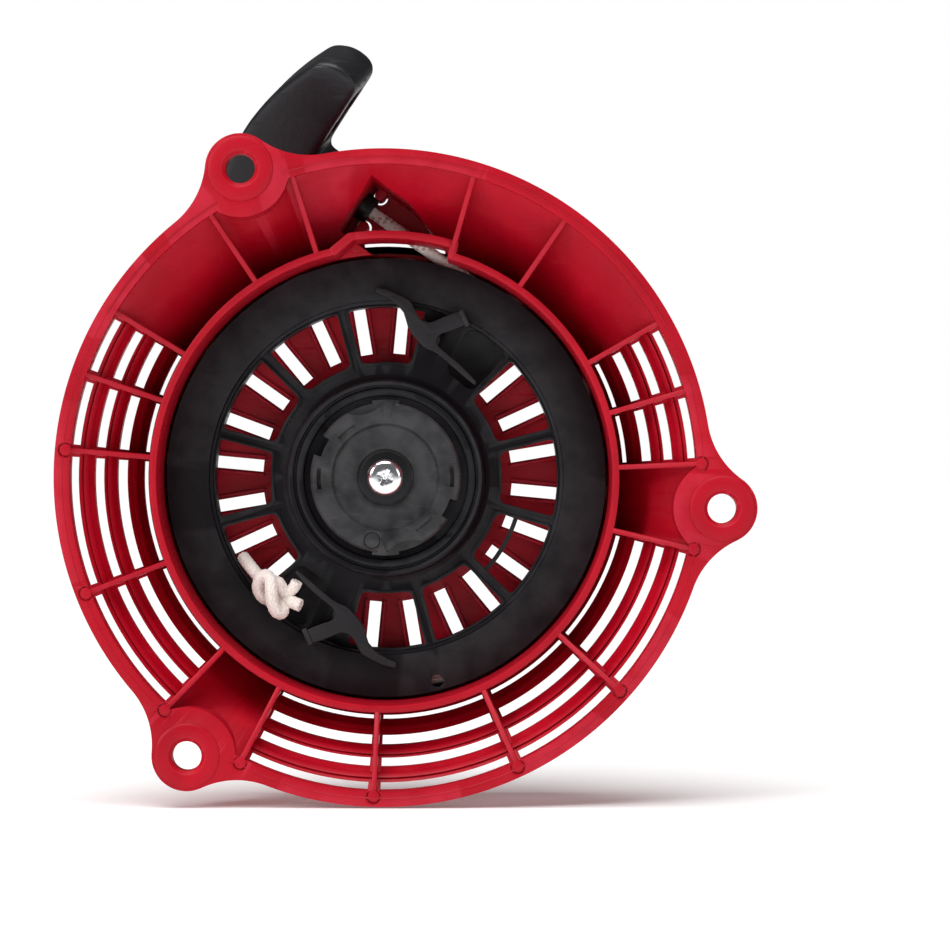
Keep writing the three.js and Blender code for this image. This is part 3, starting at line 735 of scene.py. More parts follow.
crown = turned("crown", crown_profile(), 144)
boolean(crown, crown_slot_tools())
hollow_floor = OUTLET["depth"] - WALL
boolean(crown, [extruded("way", outlet_outline(WALL), 30, hollow_floor)])
boolean(crown, [slit_tool()])
soften(crown, 0.3)
print("crown faces:", len(crown.data.polygons))

# %% Ring wall, with its step round the rope


def ring_wall():
    """The wall in four pieces: the long stretch, the guard, and the steps at its two ends."""
    step_width = 3.2
    sweep = GUARD["from"] + FULL_TURN - GUARD["to"] - step_width
    profile = square_section(RING_INNER_R, RING_OUTER_R, RING_FRONT, SKIRT_TOP)
    wall = turned("ring_wall", profile, 110, GUARD["to"] + step_width, sweep)
    guard = sector("guard", GUARD["inner"], GUARD["outer"], GUARD["from"], GUARD["to"] - 2,
                   RING_FRONT, GUARD["back"])
    right = extruded("guard_right", [
        flat(RING_INNER_R, GUARD["from"] - 1), flat(GUARD["outer"], GUARD["from"] - 0.6),
        flat(GUARD["outer"], GUARD["from"] + 1.4), flat(RING_INNER_R, GUARD["from"] + 1)],
        RING_FRONT, GUARD["back"])
    left = extruded("guard_left", [
        flat(RING_INNER_R, GUARD["to"] + 4.6), flat(RING_INNER_R, GUARD["to"] + 3),
        flat(GUARD["inner"], GUARD["to"] - 1.6), flat(GUARD["inner"], GUARD["to"] - 2.6),
        flat(GUARD["outer"], GUARD["to"] - 2.6), flat(GUARD["outer"], GUARD["to"] - 0.6),
        flat(RING_OUTER_R, GUARD["to"] + 4.6)], RING_FRONT - 0.08, GUARD["back"])
    return [soften(piece, 0.45) for piece in (wall, guard, right, left)]


case_pieces = [crown, *slot_ribs(), *ring_wall()]
print("ring wall pieces:", len(case_pieces) - 1)

# %% [markdown]
# The case: louvred skirt
#
# Between drum and flange the case is a cone. Where the cooling air enters, it is only rings: four
# curved gaps between five bars, crossed by ribs. We turn each bar from its own cross-section over
# its stretch, with a bead along all but the narrowest, and turn the closed stretches as plain cone.

# %% Skirt bars and closed stretches
VENTED = [(2.5, 29.3), (148.3, 226.8), (243.4, 347.0)]
CLOSED = [(29.3, 148.3), (226.8, 243.4), (347.0, 362.5)]
GAP_ROWS = [(65.2, 1.1), (70.8, 2.4), (76.2, 2.2), (81.9, 1.9)]
RIB_ANGLES = [2.5, 16, 29.3, 54.7, 73.3, 106.8, 123.3, 148.3, 160.9, 175, 201.3, 226.8,
              243.4, 268.3, 295, 318, 347]
RIB_THICK = 1.4
BEAD = {"half": 0.6, "height": 1.0}


def bar_profile(inner, outer):
    """One bar's cross-section: a slice of the cone with a bead along its front."""
    profile = [(inner, skirt_inner(inner))]
    if outer - inner > 2:
        middle = (inner + outer) / 2
        for offset in (-BEAD["half"], BEAD["half"]):
            r = middle + offset
            lifted = (r, skirt_inner(r) - BEAD["height"])
            pair = [(r, skirt_inner(r)), lifted]
            profile.extend(pair if offset < 0 else reversed(pair))
    profile.append((outer, skirt_inner(outer)))
    profile.append((outer, skirt_outer(outer)))
    profile.append((inner, skirt_outer(inner)))
    return profile


def bar_spans():
    """Inner and outer radius of each bar, from the drum out to the flange."""
    edges = [RING_OUTER_R - 0.6]
    for middle, width in GAP_ROWS:
        edges.extend([middle - width / 2, middle + width / 2])
    edges.append(SKIRT_FOOT_R - 0.4)
    return list(zip(edges[0::2], edges[1::2]))


def skirt():
    pieces = []
    for start, stop in VENTED:
        for inner, outer in bar_spans():
            steps = round((stop - start) / 2)
            bar = turned("bar", bar_profile(inner, outer), steps, start, stop - start)
            pieces.append(soften(bar, 0.2))
    return pieces


def closed_skirt(start, stop):
    inner, outer = RING_OUTER_R - 0.8, SKIRT_FOOT_R - 0.3
    profile = [(inner, skirt_inner(inner)), (outer, skirt_inner(outer)),
               (outer, skirt_outer(outer)), (inner, skirt_outer(inner))]
    return turned("closed", profile, round((stop - start) / 2), start, stop - start)


case_pieces += skirt()
print("skirt bars:", len(VENTED) * len(bar_spans()))

# %% [markdown]
# The case: ears and their pockets
#
# A wrench has to reach each mounting screw from behind, so the skirt is pushed inwards round
# every ear, as a half-round pocket. The pocket wall is a tube kept only where it lies under the
# cone, and the closed stretches of skirt are cut to match.

# %% Ear pockets
BOLT_CIRCLE_R = 90.0
EAR_R = 9.3
EAR_BOSS_R = 8.9
EAR_BACK = 5.6
BOLT_HOLE_R = 3.9
EAR_FILLET_R = 22.0
POCKET_R = 10.7


def cone_solid():
    """Everything behind the mounting plane and under the cone."""
    return turned("cone", [(0, FLANGE_FRONT), (SKIRT_FOOT_R, FLANGE_FRONT),
                           (SKIRT_FOOT_R, FLANGE_BACK), (DRUM_R - 1, skirt_outer(DRUM_R - 1)),
                           (0, skirt_outer(DRUM_R - 1))], 180)


def pocket_wall(ear):
    centre = flat(BOLT_CIRCLE_R, ear)
    tube = rod("pocket", centre, POCKET_R + WALL, FLANGE_FRONT + 0.2, 40, 64)
    boolean(tube, [rod("bore", centre, POCKET_R, -5, 50, 64)])
    boolean(tube, [cone_solid()], "INTERSECT")
    return soften(tube, 0.25)


def pocket_tools():
    return [rod("bore", flat(BOLT_CIRCLE_R, ear), POCKET_R + 0.4, -5, 60, 64)
            for ear in EAR_ANGLES]


for start, stop in CLOSED:
    piece = closed_skirt(start, stop)
    boolean(piece, pocket_tools())
    if start < ROPE_ANGLE < stop:
        boolean(piece, [extruded("way", outlet_outline(WALL), -2, hollow_floor)])
    case_pieces.append(soften(piece, 0.2))
case_pieces += [pocket_wall(ear) for ear in EAR_ANGLES]
print("closed stretches and pockets made")

# %% [markdown]
# The case: flange
#
# The flange's outline is a circle with three ears, each blended in by a hollow curve. We lay a
# circle primitive's vertices on that outline, lay a second circle on the inner edge, bridge the
# two loops into a flat ring and extrude it to its thickness.

# %% Flange plate
MARKED_RIBS = [175, 201.3, 226.8, 243.4, 268.3, 295, 318, 347, 2.5]
MARK_R = 84.2
MARK_PAD_R = 1.5
MARK_MOAT_R = 2.0


def ear_offset(angle):
    """The nearest ear's distance in degrees."""
    return min(abs((angle - ear + 180) % FULL_TURN - 180) for ear in EAR_ANGLES)


def outer_reach(angle):
    """Radius of the flange's outline: the rim, the hollow beside an ear, or the ear's round."""
    reach, span_to = FLANGE_R + EAR_FILLET_R, EAR_R + EAR_FILLET_R
    cosine = (BOLT_CIRCLE_R ** 2 + reach ** 2 - span_to ** 2) / (2 * BOLT_CIRCLE_R * reach)
    blend = math.acos(cosine)
    share = EAR_R / span_to
    touch = math.atan2(reach * math.sin(blend) * share,
                       BOLT_CIRCLE_R + (reach * cosine - BOLT_CIRCLE_R) * share)
    offset = math.radians(ear_offset(angle))
    if offset >= blend:
        return FLANGE_R
    if offset < touch:
        side = EAR_R ** 2 - (BOLT_CIRCLE_R * math.sin(offset)) ** 2
        return BOLT_CIRCLE_R * math.cos(offset) + math.sqrt(side)
    away = blend - offset
    return reach * math.cos(away) - math.sqrt(EAR_FILLET_R ** 2 - (reach * math.sin(away)) ** 2)


def inner_reach(angle):
    """Radius of the flange's inner edge, which runs round inside each ear's pocket wall."""
    offset = math.radians(ear_offset(angle))
    pad = POCKET_R + WALL
    side = pad ** 2 - (BOLT_CIRCLE_R * math.sin(offset)) ** 2
    if side <= 0:
        return FLANGE_INNER_R
    return min(FLANGE_INNER_R, BOLT_CIRCLE_R * math.cos(offset) - math.sqrt(side))


def flange():
    count = 720
    angles = [FULL_TURN * i / count for i in range(count)]
    outer = new_loop([polar(outer_reach(a), a, FLANGE_FRONT) for a in angles])
    inner = new_loop([polar(inner_reach(a), a, FLANGE_FRONT) for a in angles])
    plate = joined("flange", [outer, inner])
    edit(plate)
    bpy.ops.mesh.bridge_edge_loops()
    bpy.ops.mesh.select_all(action="SELECT")
    push(0, FLANGE_BACK - FLANGE_FRONT, 0)
    close_mesh("flange", plate)
    holes = [rod("hole", flat(BOLT_CIRCLE_R, ear), EAR_BOSS_R - 1, -5, 20) for ear in EAR_ANGLES]
    moats = [rod("moat", flat(MARK_R, angle), MARK_MOAT_R, -5, FLANGE_FRONT + 0.55, 32)
             for angle in MARKED_RIBS]
    boolean(plate, holes + moats)
    return soften(plate, 0.5, 3)


def ear_boss(ear):
    """A round boss with a stepped face and a chamfered bolt hole."""
    profile = [(BOLT_HOLE_R, 0.9), (BOLT_HOLE_R + 0.9, 0.25), (BOLT_HOLE_R + 1.0, 0.0),
               (EAR_BOSS_R - 1.2, 0.0), (EAR_BOSS_R - 0.3, 0.35), (EAR_BOSS_R, 1.0),
               (EAR_BOSS_R, EAR_BACK), (BOLT_HOLE_R, EAR_BACK)]
    return soften(slid(turned("boss", profile, 72), BOLT_CIRCLE_R, ear), 0.15)


case_pieces.append(flange())
case_pieces += [ear_boss(ear) for ear in EAR_ANGLES]
print("flange and ears made")

# %% [markdown]
# The case: ribs, post and rope outlet
#
# Seventeen ribs stiffen the case between ring wall and flange, nine of them with a small round
# ejector mark at the outer end. The post in the middle carries the reel. The rope leaves through
# a wedge-shaped outlet, a hollow box that grows out of the drum.

# %% Ribs


def rib(angle):
    """A web between ring wall and skirt, modelled on the X axis and then turned."""
    inner, outer = RING_OUTER_R - 0.5, FLANGE_INNER_R + 0.9
    outline = [(inner, RING_FRONT + 0.2), (outer, FLANGE_FRONT + 0.1), (outer, skirt_outer(outer)),
               (inner, skirt_outer(inner) - 0.5)]
    web = new_loop([Vector((r, depth, -RIB_THICK / 2)) * MM for r, depth in outline], "NGON")
    edit(web)
    push(0, 0, RIB_THICK)
    close_mesh("rib", web)
    soften(web, 0.35)
    web.rotation_euler = (0, -math.radians(angle), 0)
    pick(web)
    bpy.ops.object.transform_apply(location=False, rotation=True, scale=False)
    return web


def rib_foot(angle):
    """The strip of closed skirt on both sides of a rib."""
    half = 1.15
    foot = closed_skirt(angle - half, angle + half)
    return soften(foot, 0.15)


def ejector_mark(angle):
    """A small round pad with a moat round it, where an ejector pin stood."""
    profile = square_section(0, MARK_PAD_R, FLANGE_FRONT - 0.25, FLANGE_FRONT + 1)
    return soften(slid(turned("pad", profile, 32), MARK_R, angle), 0.2)


vented_ribs = [a for a in RIB_ANGLES if any(lo <= a <= hi for lo, hi in VENTED)]
case_pieces += [rib(angle) for angle in RIB_ANGLES]
case_pieces += [rib_foot(angle) for angle in vented_ribs]
case_pieces += [ejector_mark(angle) for angle in MARKED_RIBS]
print("ribs:", len(RIB_ANGLES))

# %% Post and rope outlet
POST_R = 8.0
POST_SHOULDER = 30.4
POST_TIP = 24.6
POST_TIP_R = 4.6
BUSH_R = 3.9
OUTLET_LAP = 0.4


def along_rope(name, r, start, stop, sides=48):
    """A round rod on the rope's line."""
    deselect()
    x, z = rope_plan((start + stop) / 2)
    bpy.ops.mesh.primitive_cylinder_add(
        vertices=sides, radius=r * MM, depth=(stop - start) * MM,
        location=Vector((x, ROPE_DEPTH, z)) * MM,
        rotation=(0, math.radians(90 - ROPE_ANGLE), 0))
    obj = bpy.context.object
    obj.name = name
    bpy.ops.object.transform_apply(location=True, rotation=True, scale=True)
    return obj


def post():
    profile = [(0, POST_TIP), (POST_TIP_R, POST_TIP), (POST_TIP_R, POST_SHOULDER),
               (POST_R, POST_SHOULDER), (POST_R, CROWN_DEPTH - 1), (0, CROWN_DEPTH - 1)]
    return soften(turned("post", profile, 64), 0.2)


def rope_outlet():
    """The hollow box, cut to lie on the drum's wall and just behind the skirt's inner face."""
    box = extruded("outlet", outlet_outline(0), 8, OUTLET["depth"])
    boolean(box, [extruded("way", outlet_outline(WALL), -2, hollow_floor)])
    boolean(box, [along_rope("bore", BUSH_R + 0.1, 40, 60)])
    boolean(box, [slit_tool()])
    boolean(box, [turned("drum", [(0, -5), (DRUM_INNER_R - 0.1, -5),
                                  (DRUM_INNER_R - 0.1, CROWN_EDGE - WALL), (0, CROWN_EDGE - WALL)],
                         144)])
    front = turned("front", [(50, -9), (88, -9), (88, skirt_inner(88) + OUTLET_LAP),
                             (DRUM_R, skirt_inner(DRUM_R) + OUTLET_LAP),
                             (50, skirt_inner(DRUM_R) + OUTLET_LAP)], 144)
    boolean(box, [front])
    return soften(box, 0.5, 3)


FINGERS = [{"along": 45.6, "across": 4.9, "side": 1}, {"along": 44.6, "across": -4.5, "side": -1}]
FINGER_R = 1.45
FINGER_GAP = 0.6


def finger_arc(finger, r, turns):
    """Points round a snap finger's tip, in (x, z)."""
    points = []
    for turn in turns:
        along = finger["along"] + r * math.sin(math.radians(turn))
        across = finger["across"] - finger["side"] * r * math.cos(math.radians(turn))
        points.append(rope_plan(along, across))
    return points


def snap_finger(finger):
    """A springy tongue that holds the bush, standing on the outlet's floor."""
    tip = finger_arc(finger, FINGER_R, range(-90, 91, 15))
    far = finger["across"] + finger["side"] * 5
    root = [rope_plan(finger["along"] + FINGER_R, far), rope_plan(finger["along"] - FINGER_R, far)]
    return soften(extruded("finger", tip + root, ROPE_DEPTH - 2, OUTLET["depth"] - 0.1), 0.3)


def finger_gap(finger):
    outer = finger_arc(finger, FINGER_R + FINGER_GAP, range(-120, 121, 15))
    inner = finger_arc(finger, FINGER_R, range(120, -121, -15))
    return extruded("gap", outer + inner, hollow_floor - 1, OUTLET["depth"] + 1)


outlet = rope_outlet()
boolean(outlet, [finger_gap(finger) for finger in FINGERS])
case_pieces += [post(), outlet, *[snap_finger(finger) for finger in FINGERS]]
case = joined("starter_case_moulding", case_pieces)
dress(case, CASE_RED, "case", "case_red", "starter_case")

# %% [markdown]
# The reel
#
# The reel is a black spoked wheel with a deep groove for the rope at its rim. Its flat outer band
# faces us, its web lies a little deeper, and a raised hub stands in the middle. We turn the whole
# section at once, add a raised rim round each of the ten windows, and then cut them. Behind the
# two pawls the web is thick, with a deep pocket on each side of the pawl.

# %% Reel sizes
REEL_R = (REEL_HIGH.x - REEL_LOW.x) / 2
REEL_FRONT = 33.5
HUB_FRONT = REEL_LOW.y
GROOVE_R = 48.9
REEL_FLANGE = 2.2
GROOVE_WIDTH = 5.2
GROOVE_FRONT = REEL_FRONT + REEL_FLANGE
REEL_BACK = GROOVE_FRONT + GROOVE_WIDTH + REEL_FLANGE
WEB_FRONT = 35.3
WEB_BACK = 37.4
HUB_R = 26.6
HUB_BACK = REEL_HIGH.y
WINDOW = {"inner": 31.7, "outer": 46.9, "spoke": 3.0}
WINDOW_ANGLES = [0, 30, 90, 120, 150, 180, 210, 270, 300, 330]
WINDOW_RIM = 0.75
SPRING_CUP = {"r": 25.2, "floor": 36.6}
POCKET_BACK = 42.0


def reel_profile():
    bore = POST_R + 0.35
    hub = [(bore, HUB_FRONT), (22.2, HUB_FRONT), (22.5, HUB_FRONT - 1.3), (23.4, HUB_FRONT - 1.5),
           (24.3, HUB_FRONT - 1.4), (24.6, HUB_FRONT - 0.6), (25.1, HUB_FRONT - 0.6),
           (25.3, HUB_FRONT - 2.2), (26.2, HUB_FRONT - 2.4), (26.8, HUB_FRONT - 1.8),
           (27.3, WEB_FRONT - 0.9), (28.4, WEB_FRONT)]
    band = [(47.3, WEB_FRONT), (47.6, WEB_FRONT - 0.8), (48.3, WEB_FRONT - 0.9),
            (48.6, REEL_FRONT), (REEL_R, REEL_FRONT)]
    groove = [(REEL_R, GROOVE_FRONT), (GROOVE_R, GROOVE_FRONT),
              (GROOVE_R, GROOVE_FRONT + GROOVE_WIDTH), (REEL_R, GROOVE_FRONT + GROOVE_WIDTH)]
    back = [(REEL_R, REEL_BACK), (46.9, REEL_BACK), (46.9, WEB_BACK), (HUB_R + 0.8, WEB_BACK),
            (HUB_R + 0.8, HUB_BACK), (SPRING_CUP["r"], HUB_BACK),
            (SPRING_CUP["r"], SPRING_CUP["floor"]), (bore, SPRING_CUP["floor"])]
    return [*hub, *band, *groove, *back]


print("reel radius", round(REEL_R, 1), "mm, windows:", len(WINDOW_ANGLES))

# %% Windows, rims and pockets


def rounded_wedge(angle, inner, outer, half, side, corner_in, corner_out):
    """A stretch of ring with rounded corners, its two sides moved in by a fixed width."""
    points = []
    for r, sign, corner in ((inner, -1, corner_in), (inner, 1, corner_in),
                            (outer, 1, corner_out), (outer, -1, corner_out)):
        middle = r + corner if r == inner else r - corner
        edge = math.radians(half) - (side + corner) / middle
        turn = math.radians(angle) + sign * edge
        centre = (middle * math.cos(turn), middle * math.sin(turn))
        inward = turn + math.pi if r == inner else turn
        sideways = turn + sign * math.pi / 2
        first, last = (inward, sideways) if (r == inner) == (sign > 0) else (sideways, inward)
        sweep = (last - first + math.pi) % (2 * math.pi) - math.pi
        for i in range(6):
            a = first + sweep * i / 5
            points.append((centre[0] + corner * math.cos(a), centre[1] + corner * math.sin(a)))
        if (r == inner) == (sign < 0):
            for i in range(1, 8):
                a = math.radians(angle) + sign * edge * (1 - i / 4)
                points.append((r * math.cos(a), r * math.sin(a)))
    return points


def window_outline(angle, grow=0.0):
    return rounded_wedge(angle, WINDOW["inner"] - grow, WINDOW["outer"] + min(grow, 0.4), 15,
                         WINDOW["spoke"] / 2 - grow, 2.0, 1.2)


def pawl_pocket_tools(half):
    """The deep holes on both sides of a pawl."""
    square = rounded_wedge(53 + half, 33.0, 47.4, 8.5, 0.2, 2.6, 2.6)
    wedge = [(7.6, 47.2), (12.6, 41.2), (18.4, 43.7), (14.0, 45.6), (11.0, 46.6)]
    return [extruded("pocket", square, 20, POCKET_BACK - 1),
            extruded("wedge", half_turned(wedge, half), 20, POCKET_BACK - 1)]


def reel_body():
    body = turned("reel_body", reel_profile(), 160)
    extras = [extruded("rim", window_outline(a, WINDOW_RIM), WEB_FRONT - 0.5, WEB_BACK - 0.2)
              for a in WINDOW_ANGLES]
    extras += [sector("block", HUB_R + 0.4, 47.2, 45 + half, 77 + half, WEB_BACK - 1,
                      POCKET_BACK) for half in (0, 180)]
    for extra in extras:
        boolean(body, [extra], "UNION")
    tools = [extruded("window", window_outline(a), 20, WEB_BACK + 2) for a in WINDOW_ANGLES]
    boolean(body, tools)
    boolean(body, [sector("tie", 36.6, 37.8, 315, 345, WEB_FRONT + 0.2, WEB_BACK - 0.2)], "UNION")
    boolean(body, pawl_pocket_tools(0) + pawl_pocket_tools(180))
    boolean(body, [rod("notch", flat(57.4, -75.9), 1.7, REEL_FRONT - 2, GROOVE_FRONT + 1, 32)])
    return soften(body, 0.25)


reel = reel_body()
dress(reel, REEL_BLACK, "reel", "reel_black", "reel")

# %% [markdown]
# Ratchet guide
#
# The guide is a glossy dished disc held by friction on the post. When the reel turns, the guide
# lags behind and pushes the pawls out. It has a tab, a hollow at its rim and a square notch, each
# repeated half a turn away, so the cutters are made in pairs.

# %% Guide
GUIDE_R = 20.4
DISH_R = 14.7
PLATE = 1.6
GUIDE_BORE_R = POST_TIP_R + 0.3


def guide_tools(half):
    lens = rod("lens", flat(27.0, 106 + half), 9.0, GUIDE_LOW.y - 1, GUIDE_HIGH.y - 1.4, 64)
    notch = sector("notch", 18.4, 25, 146 + half, 162 + half, GUIDE_LOW.y - 1, GUIDE_HIGH.y + 1)
    slot = sector("slot", 17.6, 18.7, 172 + half, 190 + half, GUIDE_LOW.y - 1, GUIDE_HIGH.y - 1.6)
    mark = sector("mark", 16.3, 16.8, 120 + half, 140 + half, GUIDE_LOW.y - 1, GUIDE_LOW.y + 0.4)
    return [lens, notch, slot, mark]


def guide_tab(half):
    """A tab that reaches out to the hub, with a raised pointer on it."""
    tab = sector("tab", GUIDE_R - 1, GUIDE_HIGH.x - 0.1, 80 + half, 100 + half, GUIDE_LOW.y + 0.5,
                 GUIDE_HIGH.y - 1)
    pointer = extruded("pointer", [flat(16.5, 86 + half), flat(21.0, 83.5 + half),
                                   flat(21.0, 92 + half)], GUIDE_LOW.y - 0.35, GUIDE_LOW.y + 1)
    return [tab, pointer]


def ratchet_guide():
    front = GUIDE_LOW.y
    disc = turned("guide", [
        (GUIDE_BORE_R, front + 1.1), (7.4, front + 1.1), (7.8, front + 0.8), (9.0, front + 0.8),
        (DISH_R - 0.7, front + 1.0), (DISH_R, front + 0.1), (GUIDE_R - 0.6, front),
        (GUIDE_R, front + 0.5), (GUIDE_R, GUIDE_HIGH.y), (DISH_R, GUIDE_HIGH.y),
        (DISH_R - 1, front + 1 + PLATE), (GUIDE_BORE_R, front + 1 + PLATE)], 128)
    for piece in guide_tab(0) + guide_tab(180):
        boolean(disc, [piece], "UNION")
    boolean(disc, guide_tools(0))
    boolean(disc, guide_tools(180))
    ring = turned("ring", square_section(2.0, 2.35, front - 0.05, front + 0.6), 40)
    boolean(disc, [slid(ring, 17.4, 258)])
    return soften(disc, 0.2)


guide = ratchet_guide()
dress(guide, GUIDE_BLACK, "guide", "guide_black", "ratchet_guide")

# %% [markdown]
# Pawls
#
# Each pawl is a small three-armed lever: a thin follower arm that the guide pushes, a broad arm
# that rests against the reel's band, and a tongue that swings out to catch the engine's cup. One
# outline is drawn and extruded, and the second pawl is the same one half a turn round.

# %% Pawl
PAWL_FRONT = PAWL_LOW.y
PAWL_BACK = 33.2
PAWL_OUTLINE = [
    (24.2, 25.2), (20.7, 28.0), (17.2, 31.1), (14.6, 33.3), (12.6, 34.5), (11.2, 35.0),
    (9.9, 35.9), (8.3, 37.7), (6.8, 39.6), (5.9, 41.4), (5.4, 43.2), (4.8, 45.1), (3.4, 46.8),
    (1.6, 48.3), (-0.6, 49.5), (-2.9, 50.5), (-2.7, 52.0), (-0.5, 51.5), (1.4, 50.9),
    (4.6, 49.3), (6.6, 48.1), (7.3, 47.0), (7.9, 45.6), (8.7, 44.3), (9.7, 43.1), (10.8, 42.5),
    (12.0, 42.3), (13.6, 42.8), (15.4, 43.6), (17.8, 44.5), (20.6, 45.4), (22.2, 41.8),
    (19.9, 40.8), (17.2, 39.8), (15.2, 39.2), (14.2, 38.4), (13.8, 37.4), (14.0, 36.4),
    (14.7, 35.4), (16.6, 33.8), (20.0, 31.0), (22.4, 28.6), (24.7, 26.0)]
PAWL_END = [(21.0, 45.9), (23.0, 41.4), (21.7, 40.9), (19.8, 45.3)]
PAWL_PIVOT = flat(39.75, 72)


def pawl(number, half):
    outline, raised = half_turned(PAWL_OUTLINE, half), half_turned(PAWL_END, half)
    lever = soften(extruded(f"pawl_{number}_lever", outline, PAWL_FRONT, PAWL_BACK), 0.3, 3)
    end = soften(extruded("end", raised, PAWL_FRONT - 0.5, PAWL_BACK + 0.1), 0.35)
    peg = rod("peg", half_turned([PAWL_PIVOT], half)[0], 2.4, PAWL_BACK - 0.5, PAWL_HIGH.y, 32)
    piece = joined(f"pawl_{number}_lever", [lever, end, soften(peg, 0.2)])
    return dress(piece, PAWL_GREY, f"pawl_{number}", "pawl_grey", f"pawl_{number}")


pawl(1, 0)
pawl(2, 180)

# %% [markdown]
# Screw, washers and bush
#
# The screw has a domed pan head with a cross recess, cut by two thin blocks and a small cone.
# The two dark washers are turned rings. The black rope bush is made of rods along the rope's line.

# %% Screw, washer, bush
HEAD_R = SCREW_HIGH.x
HEAD_FRONT = SCREW_LOW.y


def screw():
    body = turned("screw", [
        (0, HEAD_FRONT), (2.4, HEAD_FRONT + 0.06), (3.6, HEAD_FRONT + 0.2),
        (4.4, HEAD_FRONT + 0.55), (4.85, HEAD_FRONT + 1.2), (HEAD_R, HEAD_FRONT + 2.0),
        (HEAD_R - 0.05, WASHER_LOW.y - 0.1), (2.4, WASHER_LOW.y - 0.1), (2.4, 42.0), (0, 43.0)],
        64)
    arms = [block("arm", (4.6, 2.0, 0.95), Matrix.Translation(Vector((0, HEAD_FRONT, 0)) * MM)
                  @ Matrix.Rotation(math.radians(turn), 4, "Y")) for turn in (25, 115)]
    cone = turned("cone", [(0, HEAD_FRONT - 1), (1.6, HEAD_FRONT - 1), (1.1, HEAD_FRONT + 0.4),
                           (0, HEAD_FRONT + 1.6)], 24)
    boolean(body, arms + [cone])
    return soften(body, 0.15)


def washer(name, node, bore):
    low, high = span(node)
    return soften(turned(name, square_section(bore, high.x, low.y, high.y), 64), 0.12)


def bush():
    low, high = 45.0, 55.0
    body = along_rope("rope_bush_ring", BUSH_R, low, high)
    boolean(body, [along_rope("lip", 5.2, high - 1.2, high)], "UNION")
    boolean(body, [along_rope("collar", 4.2, low, low + 1.0)], "UNION")
    boolean(body, [along_rope("hole", 2.2, low - 1, high + 1)])
    return soften(body, 0.3)


dress(screw(), BRIGHT_STEEL, "case", "bright_steel", "centre_screw")
dress(washer("centre_washer_ring", "centre_washer", 2.9), DARK_STEEL, "case", "dark_steel",
      "centre_washer")
dress(washer("thrust_washer_ring", "thrust_washer", 4.9), DARK_STEEL, "case", "dark_steel",
      "thrust_washer")
dress(bush(), BUSH_BLACK, "case", "bush_black", "rope_bush")

# %% [markdown]
# Springs and grip hardware
#
# The recoil spring, the friction spring, the grip's washer and the knot inside it are already
# their right shape in the frame, and hardly show. They stay, with these better materials.

# %% Materials on kept nodes


def refinish(node, material):
    mesh = frame["nodes"][node].data
    for i in range(len(mesh.materials)):
        mesh.materials[i] = material
    print(node, "keeps its shape, with", material.name)


refinish("recoil_spring", SPRING_STEEL)
refinish("friction_spring", SPRING_STEEL)
refinish("grip_retainer", BRIGHT_STEEL)
refinish("grip_knot", ROPE)

# %% [markdown]
# Braided rope
#
# A braid is sixteen yarns on a round rope: eight wind one way, eight the other, and each passes
# over and under the ones it meets. For each yarn we walk along the rope's path, turn round it at
# a steady pitch, and let its distance from the middle swing in and out at every crossing. The
# yarn is a thin flat tube along that line. It is written as mesh code, because no operator
# braids.

# %% Braid code
YARNS = 8
PITCH = 13.0


def smooth_path(points, step):
    """Points at even steps along a smooth curve through the given points, in millimetres."""
    pts = [Vector(p) for p in points]
    fine = []
    for i in range(len(pts) - 1):
        a, b = pts[max(i - 1, 0)], pts[i]
        c, d = pts[i + 1], pts[min(i + 2, len(pts) - 1)]
        for k in range(24):
            t = k / 24
            fine.append(0.5 * (2 * b + (c - a) * t + (2 * a - 5 * b + 4 * c - d) * t ** 2
                               + (3 * b - a - 3 * c + d) * t ** 3))
    fine.append(pts[-1])
    lengths = [0.0]
    for p, q in zip(fine, fine[1:]):
        lengths.append(lengths[-1] + (q - p).length)
    count = max(2, round(lengths[-1] / step))
    even, k = [], 0
    for i in range(count + 1):
        want = lengths[-1] * i / count
        while k < len(fine) - 2 and lengths[k + 1] < want:
            k += 1
        share = (want - lengths[k]) / max(lengths[k + 1] - lengths[k], 1e-9)
        even.append(fine[k].lerp(fine[k + 1], min(share, 1)))
    return even, lengths[-1]


def path_frames(points):
    """A tangent and two crosswise directions at each point, carried along without twist."""
    frames = []
    cross = Vector((0, 1, 0))
    for i, point in enumerate(points):
        tangent = (points[min(i + 1, len(points) - 1)] - points[max(i - 1, 0)]).normalized()
        cross = (cross - tangent * cross.dot(tangent))
        if cross.length < 1e-4:
            cross = tangent.orthogonal()
        cross.normalize()
        frames.append((point, tangent, cross.copy(), tangent.cross(cross)))
    return frames


